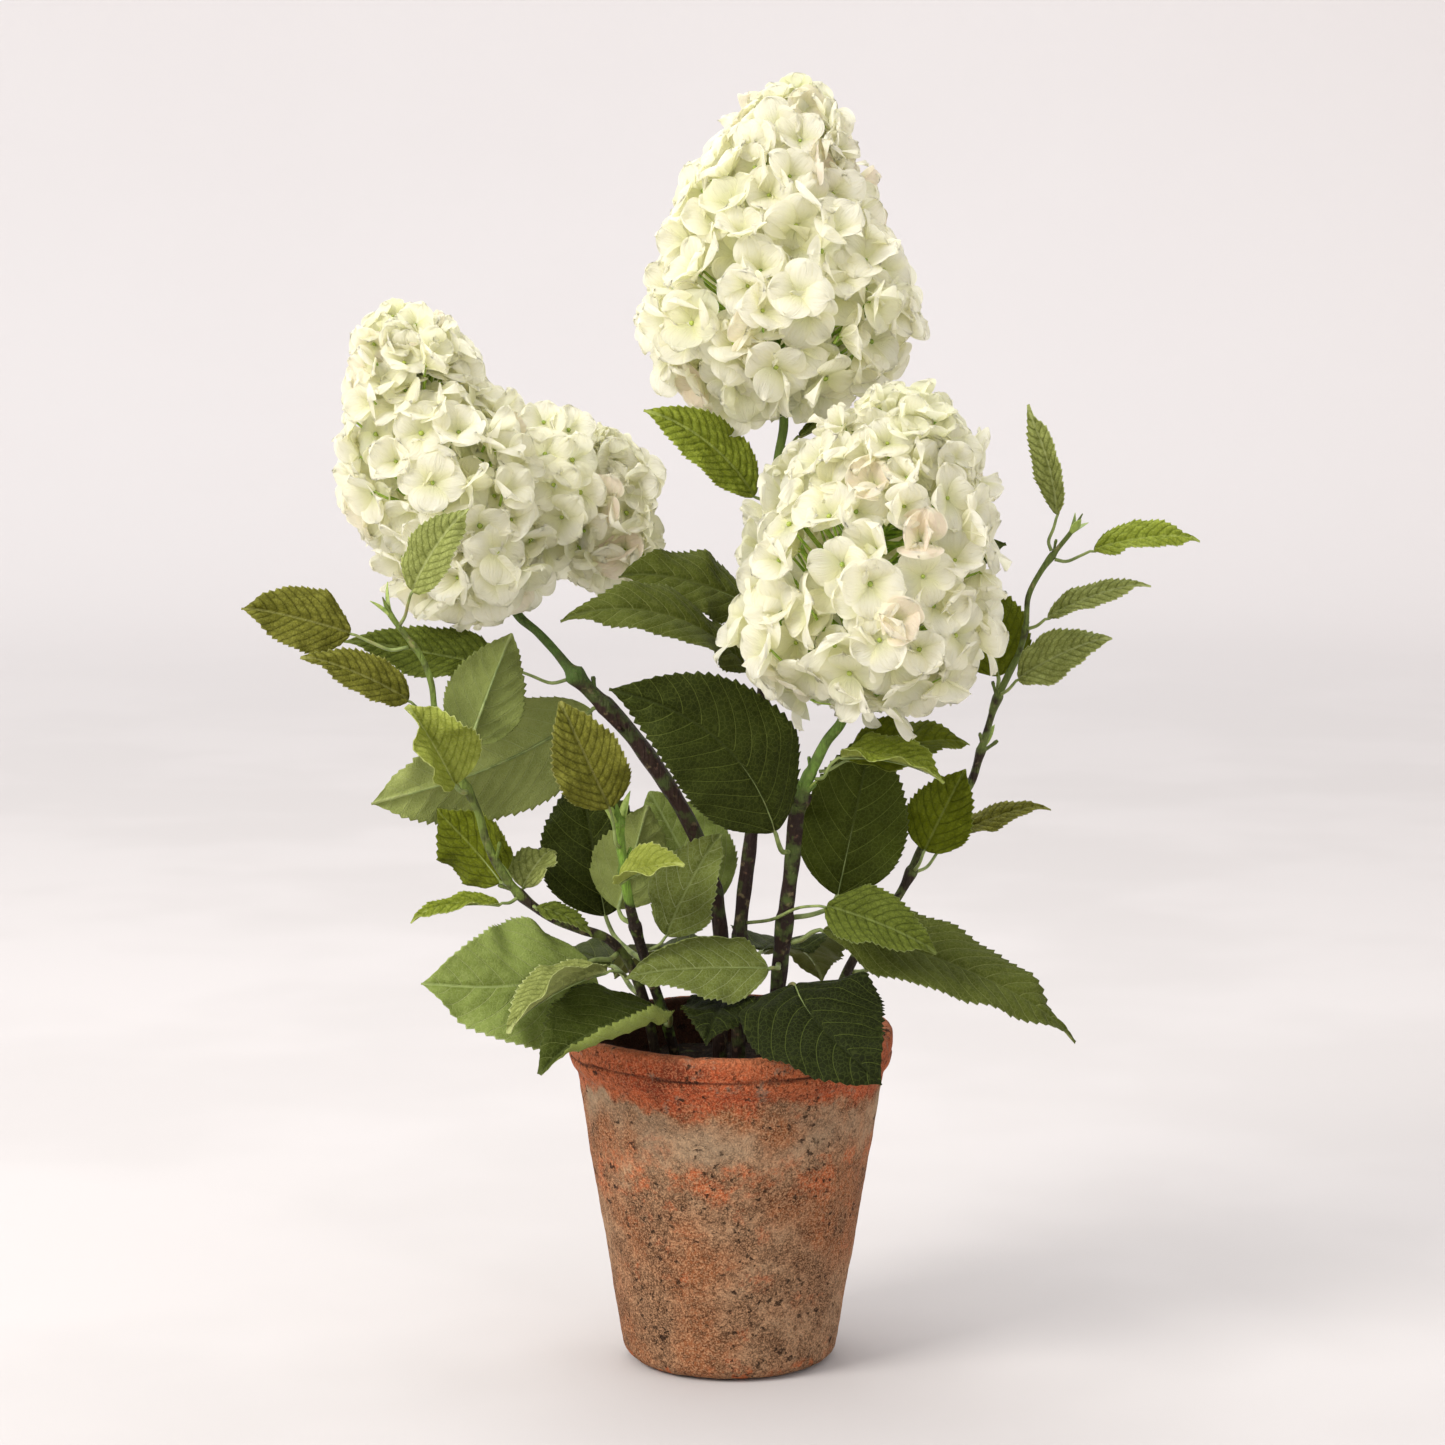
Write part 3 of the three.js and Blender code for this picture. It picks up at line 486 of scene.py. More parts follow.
def grid_faces(rows, columns, first=0, closed=False, flip=False):
    """Four-sided faces of a grid of points; closed joins its last column to its first."""
    r = np.arange(rows - 1)[:, None]
    c = np.arange(columns if closed else columns - 1)[None, :]
    after = (c + 1) % columns
    corners = [r * columns + c, r * columns + after, (r + 1) * columns + after, (r + 1) * columns + c]
    faces = np.stack([np.broadcast_to(x, (rows - 1, c.shape[1])).ravel() for x in corners], 1) + first
    return faces[:, ::-1] if flip else faces


def smooth_rows(knots, rows, wanted):
    """Rows of numbers given at knots, read along a smooth line at the wanted places."""
    knots = np.asarray(knots, float)
    rows = np.asarray(rows, float)
    slope = np.gradient(rows, knots, axis=0)
    k = np.clip(np.searchsorted(knots, wanted, side="right") - 1, 0, len(knots) - 2)
    span = (knots[k + 1] - knots[k])
    t = (wanted - knots[k]) / span
    shape = (len(wanted),) + (1,) * (rows.ndim - 1)
    t, span = t.reshape(shape), span.reshape(shape)
    return ((2 * t**3 - 3 * t**2 + 1) * rows[k] + (t**3 - 2 * t**2 + t) * span * slope[k]
            + (3 * t**2 - 2 * t**3) * rows[k + 1] + (t**3 - t**2) * span * slope[k + 1])


def tube(centres, radii, sides):
    """Points and faces of a closed tube along centres, ended with small caps."""
    centres = np.asarray(centres, float)
    ahead = np.gradient(centres, axis=0)
    ahead /= np.linalg.norm(ahead, axis=1)[:, None]
    side = square_to(np.array([0.3, 1.0, 0.2]), ahead[0])
    angles = np.arange(sides) * 2 * math.pi / sides
    points = []
    for centre, axis, radius in zip(centres, ahead, radii):
        side = square_to(side, axis)
        other = np.cross(axis, side)
        points.append(centre + radius * (np.cos(angles)[:, None] * side + np.sin(angles)[:, None] * other))
    points = np.concatenate(points)
    faces = [list(f) for f in grid_faces(len(centres), sides, closed=True)]
    faces.append(list(range(sides))[::-1])
    faces.append([len(points) - sides + i for i in range(sides)])
    return points, faces


def cad_rings(name, sides):
    """The rings of points that a swept CAD node is made of, with its two end points."""
    mesh = NODES[name].data
    where, points, own = {}, [], []
    for vertex in mesh.vertices:
        key = tuple(round(c, 6) for c in vertex.co)
        if key not in where:
            where[key] = len(points)
            points.append(np.array(vertex.co, float))
        own.append(where[key])
    near = [set() for _ in points]
    for edge in mesh.edges:
        a, b = own[edge.vertices[0]], own[edge.vertices[1]]
        if a != b:
            near[a].add(b)
            near[b].add(a)
    ends = [i for i, n in enumerate(near) if len(n) == sides]
    seen, rings, level = {ends[0]}, [], {ends[0]}
    while True:
        level = {j for i in level for j in near[i]} - seen
        seen |= level
        if len(level) < sides:
            break
        ring = [min(level)]
        while len(ring) < sides:
            ring.append(next(j for j in sorted(near[ring[-1]]) if j in level and j not in ring))
        rings.append(np.array([points[i] for i in ring]))
    return points[ends[0]], rings, points[ends[1]]


# ---------------------------------------------------------------- leaves

# The finish of each leaf of a branch, in the order of its leaves.
LEAF_LOOKS = {
    "shoot_left": "olive_quilted pale_quilted olive_quilted lime_folded grey_smooth lit_olive "
                  "pale_quilted bright_quilted mid_quilted",
    # stem_left_leaf_2 wears the light finish as painted light against the shade that falls on its back.
    "stem_left": "mid_quilted light_smooth light_smooth",
    "shoot_middle": "olive_quilted lime_folded grey_smooth grey_smooth dark_smooth",
    "stem_centre": "mid_quilted bright_quilted mid_quilted olive_smooth olive_smooth mid_smooth "
                   "dark_smooth",
    "stem_right": "lit_olive bright_quilted dark_smooth lush_smooth",
    "shoot_right": "pale_quilted bright_quilted pale_quilted pale_quilted lit_olive lit_olive "
                   "olive_quilted",
    # rim_leaf_4 wears the lighter grey finish as painted light where its upper side is lit; rim_leaf_5 and
    # rim_leaf_6 wear the near-black finish as painted shade where they lie in shadow.
    "rim": "light_smooth pale_quilted mid_smooth grey_smooth shade_smooth shade_smooth "
           "olive_smooth mid_quilted olive_smooth dark_smooth dark_smooth mid_smooth",
}
# Leaves that have twisted on their stalks, so that the cloth's back looks up.
TWISTED = {"stem_right_leaf_3", "shoot_left_leaf_5", "shoot_left_leaf_6", "shoot_middle_leaf_1",
           "shoot_middle_leaf_3", "shoot_right_leaf_1", "shoot_right_leaf_6"}

# Leaves with one long margin rolled over, so that a strip of the pale back shows: which margin it is.
ROLLED = {"rim_leaf_3": "lower", "rim_leaf_4": "upper"}
ROLL_START, ROLL_TURN = 0.56, 2.6  # share of the half width where it starts, and its full turn

CLOTH_THICKNESS = 0.35
# One tooth of the margin from base to tip: it climbs slowly and drops back at once.
TOOTH = [0.0, 0.2, 0.45, 0.72, 1.0, 0.55]
TOOTH_ROOT = 0.925  # share of the half width where the teeth start
BROADEST = 0.4  # share of the blade's length where it is widest
# Slow waves of a blade: how many along it, and their height in millimetres.
WAVES = [(0.9, 2.4), (1.9, 2.1), (3.3, 1.3), (5.6, 0.6)]


def read_leaf(name):
    """A CAD leaf's stalk line and blade: midrib points, and each half's fold and width at its sections."""
    start, rings, end = cad_rings(name, 8)
    if np.ptp(np.linalg.norm(rings[0] - start, axis=1)) > np.ptp(np.linalg.norm(rings[-1] - end, axis=1)):
        start, end, rings = end, start, rings[::-1]
    stalk, sections = [], []
    for ring in rings:
        centre = ring.mean(0)
        far = np.linalg.norm(ring - centre, axis=1)
        if far.max() < 1.5 * far.min():
            stalk.append((centre, far.mean()))
            continue
        gaps = [np.linalg.norm(ring[(i + 1) % 8] - ring[i - 1]) for i in range(8)]
        margin = min(range(8), key=lambda i: gaps[i] + gaps[(i + 4) % 8])
        at = np.roll(ring, -margin, axis=0)
        top, rib = (at[2], at[6]) if at[2][2] > at[6][2] else (at[6], at[2])
        section = {"centre": (top + rib) / 2, "up": unit(top - rib),
                   "margins": [at[0], at[4]], "quarters": [(at[1] + at[7]) / 2, (at[3] + at[5]) / 2]}
        if sections:
            before = sections[-1]
            same = np.dot(at[0] - section["centre"], before["margins"][0] - before["centre"])
            if same < 0:
                section["margins"].reverse()
                section["quarters"].reverse()
        sections.append(section)
    return start, stalk, sections, end


def leaf_surface(sections, base, tip, t, v, width_of):
    """Points of the blade's middle surface at shares t along and v across, from -1 to 1."""
    centres = np.array([base] + [s["centre"] for s in sections] + [tip])
    knots = np.concatenate([[0], np.cumsum(np.linalg.norm(np.diff(centres, axis=0), axis=1))])
    knots /= knots[-1]
    line = smooth_rows(knots, centres, t)
    folds = []
    for side in (0, 1):
        quarters, margins = [], []
        for s in sections:
            half = np.linalg.norm(s["quarters"][side] - s["centre"])
            half += np.linalg.norm(s["margins"][side] - s["quarters"][side])
            quarters.append((s["quarters"][side] - s["centre"]) / half)
            margins.append((s["margins"][side] - s["centre"]) / half)
        ends = [np.array([x[0]] + x + [x[-1]]) for x in (quarters, margins)]
        folds.append([smooth_rows(knots, e, t) for e in ends])
    points = np.zeros((len(t), len(v), 3))
    for j, place in enumerate(v):
        out = abs(place)
        quarter, margin = folds[0 if place >= 0 else 1]
        reach = 4 * out * (1 - out) * quarter + out * (2 * out - 1) * margin
        points[:, j] = line + reach * width_of(j)[:, None]
    return points, line


def blade_outline(t, slim):
    """Share of the full width along the blade: an egg, wedged at its base and drawn out to a point."""
    before = np.clip((BROADEST - t) / BROADEST, 0, 1)
    after = np.clip((t - BROADEST) / (1 - BROADEST), 0, 1)
    return (1 - before ** (1.9 if slim else 2.3)) ** 0.75 * (1 - after**1.85) ** 1.12


def sheet_normals(points, t):
    """Normals of a sheet, held steady near its two ends, where it is too narrow to have its own."""
    normals = np.cross(np.gradient(points, axis=0), np.gradient(points, axis=1))
    normals /= np.maximum(np.linalg.norm(normals, axis=2), 1e-12)[..., None]
    first, last = int(np.argmax(t > 0.03)), int(np.argmax(t > 0.95))
    normals[:first], normals[last:] = normals[first], normals[last]
    normals[:, 0], normals[:, -1] = normals[:, 1], normals[:, -2]
    return normals


def pressed_relief(rng, t, v, half, outline, length, look):
    """How high the pressed cloth stands in millimetres, with the two numbers that its veins follow.

    Those are the distance from the midrib in millimetres, and a phase that is whole on each side vein.
    """
    quilt, spacing = LEAF_FINISHES[look][3:5]
    out, widths = np.abs(v)[None, :], (half * outline)[:, None]
    across = v[None, :] * widths / MM
    # Side veins climb towards the tip as they run out, and those of the two halves alternate.
    climb = (0.62 * out + 0.55 * out**2) * widths / length
    count = length / (spacing * MM)
    phase = (t[:, None] - climb) * count + np.where(v[None, :] > 0, 0.45, 0.0)
    deep = quilt * (1 - out**5) * np.minimum(1, out * 7) * np.minimum(1, widths / (4 * MM))
    relief = deep * np.abs(np.sin(math.pi * phase)) ** 0.6
    if spacing < QUILTED_BELOW:
        # Folds about 4 mm apart cross the strips between side veins, staggered strip by strip.
        fold = np.abs(np.sin(math.pi * (np.abs(across) / 4.0 + 0.37 * np.floor(phase))))
        relief = relief * (0.15 + 0.85 * fold**0.5)
    # The midrib is sunk.
    relief = relief - (0.5 + 0.3 * quilt) * np.exp(-(across / 1.2) ** 2)
    soft = np.minimum(min(1.3, half / (22 * MM)), widths / (9 * MM))
    for cycles, size in WAVES:
        turn, twist = rng.uniform(0, 6.28), rng.uniform(-1.6, 1.6)
        wave = np.sin(2 * math.pi * cycles * t[:, None] + turn + twist * v[None, :])
        relief = relief + size * soft * out**1.6 * wave * np.minimum(1, t * 6)[:, None]
    # The point turns down a little.
    relief = relief - 0.035 * length / MM * np.clip((t[:, None] - 0.72) / 0.28, 0, 1) ** 2
    return relief, across, phase


def roll_margin(sheet, lifted, normals, t, v, full_width, width_of, sign):
    """Rolls one margin over the upper side, so that a strip of the pale back shows."""
    hinge = min(range(len(v)), key=lambda j: abs(v[j] * sign - ROLL_START))
    edge_out = sheet[:, hinge + sign] - sheet[:, hinge - sign]
    away = edge_out / np.maximum(np.linalg.norm(edge_out, axis=1), 1e-9)[:, None]
    above, start = normals[:, hinge].copy(), lifted[:, hinge].copy()
    reach = np.maximum(full_width * (1 - ROLL_START), 1e-5)[:, None]
    full_turn = ROLL_TURN * np.clip(np.sin(math.pi * t) * 1.4, 0.05, 1)[:, None]
    radius = reach / full_turn
    lifted, normals = lifted.copy(), normals.copy()
    for j in range(len(v)):
        if v[j] * sign <= ROLL_START:
            continue
        turn = full_turn * (width_of(j)[:, None] * abs(v[j]) / reach - ROLL_START / (1 - ROLL_START))
        lifted[:, j] = start + away * radius * np.sin(turn) + above * radius * (1 - np.cos(turn))
        normals[:, j] = above * np.cos(turn) - away * np.sin(turn)
    return lifted, normals


def two_skins(lifted, normals):
    """Points and faces of a closed thin sheet: an upper and a lower skin, joined all round the edge."""
    rows, wide = lifted.shape[:2]
    total = rows * wide
    upper, lower = (lifted + normals * (side * CLOTH_THICKNESS / 2 * MM) for side in (1, -1))
    k, j = rows // 2, wide // 2
    turned = np.cross(upper[k + 1, j] - upper[k, j], upper[k, j + 1] - upper[k, j])
    flip = np.dot(turned, normals[k, j]) > 0
    faces = [list(f) for f in grid_faces(rows, wide, 0, flip=flip)]
    faces += [list(f) for f in grid_faces(rows, wide, total, flip=not flip)]
    rim = [i * wide for i in range(rows)] + [(rows - 1) * wide + j for j in range(1, wide)]
    rim += [i * wide + wide - 1 for i in range(rows - 2, -1, -1)] + list(range(wide - 2, 0, -1))
    edge = [[a, b, b + total, a + total] for a, b in zip(rim, rim[1:] + rim[:1])]
    faces += [f[::-1] for f in edge] if flip else edge
    return np.concatenate([upper.reshape(-1, 3), lower.reshape(-1, 3)]), faces


def stalk_and_rib(start, stalk, under):
    """The stalk as a tube that runs on along the points under the blade as a tapering rib."""
    bends = np.array([start] + [centre for centre, _ in stalk[1:]])
    line = smooth_rows(np.linspace(0, 1, len(bends)), bends, np.linspace(0, 1, 14))[:-1]
    taper = np.concatenate([np.linspace(1.15, 0.85, len(line)), np.linspace(0.8, 0.22, len(under))])
    return tube(np.concatenate([line, under]), 0.85 * stalk[0][1] * taper, 8)


def build_leaf(name, look, cloth, stalk_plastic):
    """A toothed, pressed blade of cloth with its stalk and the rib that the stalk runs on as."""
    rng = random.Random(name)
    start, stalk, sections, tip = read_leaf(name)
    base, middle = stalk[-1][0], sections[len(sections) // 2]
    stops = [base] + [s["centre"] for s in sections] + [tip]
    length = sum(np.linalg.norm(b - a) for a, b in zip(stops, stops[1:]))
    half = max(np.linalg.norm(margin - s["centre"]) for s in sections for margin in s["margins"])

    # Bigger leaves carry bigger teeth, all a little uneven.
    pitch = (2.1 + 0.018 * length / MM) * MM
    teeth = max(12, round(length * 1.1 / pitch))
    rows = teeth * len(TOOTH) + 1
    t = np.clip(np.linspace(0, 1, rows) ** 1.08, 0.0012, 0.997)
    columns = int(np.clip(round(half / (1.5 * MM)), 9, 22))
    halves = np.concatenate([np.linspace(0, TOOTH_ROOT, columns), [0.965, 1.0]])
    v = np.concatenate([-halves[:0:-1], halves])
    wide = len(v)
    outline = blade_outline(t, half / length < 0.2)
    tooth = np.array(TOOTH)[np.arange(rows) % len(TOOTH)]
    bite = 0.36 * pitch * np.minimum(1, t / 0.07) * np.minimum(1, (1 - t) / 0.2) ** 1.5
    uneven = np.array([rng.uniform(0.55, 1.3) for _ in range(teeth + 1)])[np.arange(rows) // len(TOOTH)]

    def width_of(j):
        edge = np.clip((abs(v[j]) - TOOTH_ROOT) / (1 - TOOTH_ROOT), 0, 1)
        return half * outline * 0.97 + edge * tooth * bite * uneven

    sheet, line = leaf_surface(sections, base, tip, t, v, width_of)
    # Teeth lean towards the tip of the leaf.
    ahead = np.gradient(line, axis=0)
    ahead /= np.linalg.norm(ahead, axis=1)[:, None]
    for j in (0, wide - 1):
        sheet[:, j] += ahead * (tooth * bite * 0.7)[:, None]
    normals = sheet_normals(sheet, t)
    looks_up = np.dot(normals[rows // 2, wide // 2], middle["up"]) > 0
    if looks_up == (name in TWISTED):
        normals = -normals
    relief, across, phase = pressed_relief(rng, t, v, half, outline, length, look)
    lifted = sheet + normals * (relief * MM)[..., None]
    if name in ROLLED:
        higher = 1 if middle["margins"][0][2] > middle["margins"][1][2] else -1
        sign = higher if ROLLED[name] == "upper" else -higher
        lifted, normals = roll_margin(sheet, lifted, normals, t, v, half * outline, width_of, sign)

    blade = Gathered()
    blade.add(*two_skins(lifted, normals))
    rib_rows = np.arange(2, int(rows * 0.86), 3)
    under = lifted[rib_rows, wide // 2] - normals[rib_rows, wide // 2] * (0.45 * MM)
    stalk_points, stalk_faces = stalk_and_rib(start, stalk, under)
    blade.add(stalk_points, stalk_faces, slot=1)
    shape, own = (rows, wide), rng.uniform(0, 50)
    filler = np.zeros((len(stalk_points), 3))
    vein = point_values(shape, across, (t * length / MM)[:, None], phase)
    sides = [point_values(shape, np.abs(v)[None, :], side, own) for side in (0.0, 1.0)]
    make_piece(name + "_blade", blade.points(), blade.faces, [cloth, stalk_plastic], blade.slots,
               {"vein": np.concatenate([vein, vein, filler]), "blade": np.concatenate(sides + [filler])},
               [name])


# ---------------------------------------------------------------- flower heads

# Florets in the outer layer, in the layer behind it, and the length of a full petal in millimetres.
HEAD_FLORETS = {
    "flower_head_centre": (176, 84, 16.8),
    "flower_head_left": (152, 72, 15.8),
    "flower_head_right": (170, 82, 16.5),
    "flower_cluster_left": (56, 18, 15.6),
}
# Florets that stand away from a head's outline: place, the way they face and their size.
STRAY_FLORETS = {
    "flower_head_centre": [((46, -8, 608), (0.8, -0.5, 0.0), 0.8), ((47, -4, 622), (0.9, -0.4, 0.2), 0.72)],
    "flower_cluster_left": [
        ((-93, 8, 474), (0.1, -0.8, 0.6), 0.85), ((-81, 12, 470), (0.3, -0.8, 0.6), 0.85),
        ((-92, 2, 459), (0.0, -1.0, 0.2), 0.9), ((-79, 6, 456), (0.3, -1.0, 0.1), 0.95),
        ((-88, 2, 444), (0.1, -1.0, 0.0), 0.95), ((-75, 6, 440), (0.2, -1.0, 0.0), 0.95),
        ((-84, 4, 428), (0.0, -1.0, -0.2), 0.95), ((-45, 26, 408), (0.7, -0.6, -0.3), 0.9),
    ],
}
PETAL_GRID = (11, 9)  # points from heart to rim, and across
GOLDEN_TURN = math.radians(137.508)


def head_outline(name):
    """The head's axis points, and its outline as distance along the axis and radius, from the CAD."""
    start, rings, end = cad_rings(name, 16)
    if start[2] > end[2]:
        start, end, rings = end, start, rings[::-1]
    rings = rings[2:]
    centres = np.array([r.mean(0) for r in rings] + [end])
    radii = np.array([np.linalg.norm(r - r.mean(0), axis=1).mean() for r in rings] + [4 * MM])
    return centres, radii


def petal(rng, length, rise, turn, shrink):
    """One broad cupped petal with a frilled edge, lying out along +X of its floret."""
    out = np.sin(math.pi / 2 * np.linspace(0, 1, PETAL_GRID[0]))[:, None]
    side = np.linspace(-1, 1, PETAL_GRID[1])[None, :]
    width = length * rng.uniform(1.08, 1.34) / 2
    # A narrow foot that opens into a round fan, broadest at six tenths.
    fan = np.sqrt(np.clip(1 - ((out - 0.6) / 0.4) ** 2, 0.0, 1))
    foot = 0.13 + 0.87 * np.sin(math.pi / 2 * np.clip(out / 0.6, 0, 1) ** 0.8)
    spread = np.where(out > 0.6, fan, foot)
    notch = 0.05 * length * rng.uniform(0.0, 1.0) * np.exp(-(side / 0.3) ** 2) * out**6
    x = length * out * (1 - 0.05 * side**2 * out) - notch + 0.0007
    y = width * spread * side
    cup = length * rng.uniform(0.12, 0.30)
    curl = length * rng.uniform(0.08, 0.48)
    hollow = length * rng.uniform(-0.16, 0.22)
    z = cup * out - curl * out**3 + hollow * side**2 * out
    frill = length * out**3
    z = z + 0.095 * frill * np.sin(side * rng.uniform(3.2, 6.0) + rng.uniform(0, 6.28))
    z = z + 0.042 * frill * np.sin(side * rng.uniform(9, 14) + rng.uniform(0, 6.28))
    x = x + 0.030 * length * out**4 * np.sin(side * rng.uniform(5, 9) + rng.uniform(0, 6.28))
    x, z = x * math.cos(rise) - z * math.sin(rise), x * math.sin(rise) + z * math.cos(rise)
    c, s = math.cos(turn), math.sin(turn)
    spin = np.array([[c, s, 0], [-s, c, 0], [0, 0, 1]])
    return point_values(PETAL_GRID, x, y, z) * shrink @ spin, out, side


def ball(centre, radius, axis, rng):
    """A small rounded bud, a little squashed along its axis."""
    side = square_to(np.array([rng.random(), 1.0, rng.random()]), axis)
    other = np.cross(axis, side)
    points = []
    for ring in range(1, 5):
        tilt = math.pi * ring / 5
        for step in range(8):
            turn = 2 * math.pi * step / 8
            out = math.cos(turn) * side + math.sin(turn) * other
            points.append(centre + radius * (math.sin(tilt) * out + 0.8 * math.cos(tilt) * axis))
    faces = [list(f) for f in grid_faces(4, 8, closed=True, flip=True)]
    faces += [list(range(8)), list(range(24, 32))[::-1]]
    return np.array(points), faces


def build_head(name, petals, eyes, twigs):
    """A cone of four-petalled florets on thin stalks that branch from the stem."""
    rng = random.Random(name)
    outer, inner, full = HEAD_FLORETS[name]
    centres, radii = head_outline(name)
    along = np.concatenate([[0], np.cumsum(np.linalg.norm(np.diff(centres, axis=0), axis=1))])
    # The outline starts under the head near the stem and ends at the tip.
    shares = np.concatenate([[0.0], along]) / along[-1]
    rads = np.concatenate([[radii[0] * 0.35], radii])
    run = np.concatenate([[0], np.cumsum(np.hypot(np.diff(shares * along[-1]), np.diff(rads)))])
    fine = np.linspace(0, run[-1], 400)
    fine_share, fine_rad = np.interp(fine, run, shares), np.interp(fine, run, rads)
    # Florets are smaller and closer together towards the tip.
    crowd = 1 + 1.9 * np.clip((fine_share - 0.62) / 0.38, 0, 1)
    weight = (fine_rad + 0.004) * crowd
    area = np.concatenate([[0], np.cumsum((weight[1:] + weight[:-1]) / 2)])
    area /= area[-1]
    axis_rows = np.gradient(centres, along, axis=0)

    def on_axis(share, rows):
        return np.array([np.interp(share * along[-1], along, rows[:, i]) for i in range(3)])

    cloth, hearts, stalks = Gathered(), Gathered(), Gathered()
    petal_faces = grid_faces(*PETAL_GRID)
    petal_values, floret_values = [], []

    def add_floret(heart, face, small, opening, look, root):
        start = square_to(np.array([rng.gauss(0, 1) for _ in range(3)]), face)
        turned = np.stack([start, np.cross(face, start), face])
        for quarter in range(4):
            rise = opening + rng.uniform(-0.22, 0.26)
            turn = quarter * math.pi / 2 + rng.uniform(-0.18, 0.18)
            points, out, side = petal(rng, full * MM * rng.uniform(0.86, 1.12), rise, turn, small)
            points[:, 2] += 0.0005 if quarter % 2 else -0.0003
            cloth.add(points @ turned + heart, petal_faces)
            petal_values.append(point_values(PETAL_GRID, out, side, rng.random()))
            floret_values.append(np.tile(look, (len(points), 1)))
        hearts.add(*ball(heart + face * 0.0012, rng.uniform(1.1, 1.5) * MM * small, face, rng))
        bend = root * 0.4 + heart * 0.6 - UP * 0.006
        s = np.linspace(0, 1, 7)[:, None]
        stalks.add(*tube((1 - s) ** 2 * root + 2 * s * (1 - s) * bend + s**2 * heart,
                         np.linspace(1.1, 0.6, 7) * MM, 6))

    for layer, count in ((0, outer), (1, inner)):
        for k in range(count):
            u = (k + 0.5 + rng.uniform(-0.3, 0.3)) / count
            place = np.interp(u, area, fine)
            share = float(np.interp(place, fine, fine_share))
            radius = float(np.interp(place, fine, fine_rad))
            ahead = np.interp(place + 0.004, fine, fine_share) - np.interp(place - 0.004, fine, fine_share)
            widen = np.interp(place + 0.004, fine, fine_rad) - np.interp(place - 0.004, fine, fine_rad)
            axis = unit(on_axis(share, axis_rows))
            first = square_to(np.array([1.0, 0.2, 0.0]), axis)
            angle = k * GOLDEN_TURN + layer * 1.3 + rng.uniform(-0.2, 0.2)
            radial = math.cos(angle) * first + math.sin(angle) * np.cross(axis, first)
            outward = unit(radial * ahead * along[-1] - axis * widen)
            near_tip = min(1.0, max(0.0, (share - 0.58) / 0.42))
            small = 1.0 - 0.30 * near_tip - 0.06 * layer
            depth = (9.4 + rng.uniform(-5.6, 5.0) + 11.0 * layer) * MM * (0.45 + 0.55 * small)
            heart = on_axis(share, centres) + radial * radius - outward * min(depth, radius * 0.88)
            heart = heart - axis * 0.006 * near_tip**3
            lean = np.array([rng.gauss(0, 1) for _ in range(3)])
            face = unit(outward + 0.46 * lean + 0.08 * UP)
            green = 0.55 * max(0.0, (share - 0.85) / 0.15) + (0.35 if rng.random() < 0.12 else 0.0)
            blush = rng.uniform(0.4, 0.9) if rng.random() < 0.06 and not layer else 0.0
            opening = rng.uniform(0.12, 0.9)
            # The third number is how much painted shade a floret gets for lying deep in the head, most in
            # the layer behind.
            look = [min(1.0, green), blush, 0.6 * layer + rng.uniform(0, 0.15)]
            root = on_axis(max(0.02, share - rng.uniform(0.14, 0.24)), centres)
            add_floret(heart, face, small, opening, look, root)
    for place, way, size in STRAY_FLORETS.get(name, []):
        heart = np.array(place) * MM
        share = float(np.clip(np.argmin(np.linalg.norm(centres - heart, axis=1)) / len(centres), 0.1, 0.9))
        add_floret(heart, unit(np.array(way)), size, rng.uniform(0.3, 0.6), [0.15, 0.0, 0.05],
                   on_axis(share - 0.08, centres))

    values = {"petal": np.concatenate(petal_values), "floret": np.concatenate(floret_values)}
    make_piece(name + "_petals", cloth.points(), cloth.faces, [petals], None, values, [name])
    make_piece(name + "_eyes", hearts.points(), hearts.faces, [eyes])
    make_piece(name + "_twigs", stalks.points(), stalks.faces, [twigs])


# ---------------------------------------------------------------- stems

# Each sheath's bark and upper colours, the heights between which it changes, and how patchy that is.
SHEATHS = {
    "stem_centre": ("#31211B", "#6C8638", 428, 440, 0.5),
    "stem_left": ("#38261E", "#546E30", 338, 350, 0.9),
    "stem_right": ("#30211A", "#749440", 288, 300, 0.7),
    "shoot_left": ("#33291B", "#6E8034", 215, 300, 1.3),
    "shoot_middle": ("#292016", "#7A9E38", 225, 262, 1.0),
    "shoot_right": ("#33291B", "#667638", 215, 400, 1.5),
}
# Joints on a sheath: height, how much thicker it is there, and how long the thickening is.
JOINTS = {
    "stem_centre": [(217, 0.22, 9), (300, 0.18, 8), (436, 0.55, 5)],
    "stem_left": [(240, 0.2, 9), (334, 0.35, 8), (350, 0.5, 4)],
    "stem_right": [(228, 0.22, 8), (292, 0.6, 6), (304, 0.25, 5)],
    "shoot_left": [(245, 0.3, 5), (299, 0.35, 5), (336, 0.25, 4), (368, 0.25, 4)],
    "shoot_middle": [(228, 0.3, 5), (258, 0.45, 4), (283, 0.5, 4)],
    "shoot_right": [(247, 0.45, 5), (309, 0.4, 5), (336, 0.5, 5), (371, 0.35, 4), (408, 0.5, 4)],
}
# Small pegs left by the mould, by stem: height, turn in degrees, length, thickness.
PEGS = {
    "stem_centre": [(437, 100, 7, 1.0), (439, 300, 6, 0.9), (436, 200, 5, 0.9)],
    "stem_left": [(341, 20, 6, 1.2), (322, 250, 5, 1.1)],
    "stem_right": [(292, 40, 7, 1.3), (296, 220, 5, 1.0), (306, 130, 5, 0.9)],
    "shoot_left": [(301, 60, 8, 1.0), (248, 150, 7, 1.0), (262, 330, 9, 1.0)],
    "shoot_middle": [(262, 30, 6, 0.9)],
    "shoot_right": [(309, 20, 8, 1.0), (312, 230, 6, 0.9), (336, 160, 6, 0.9), (409, 120, 6, 0.8)],
}
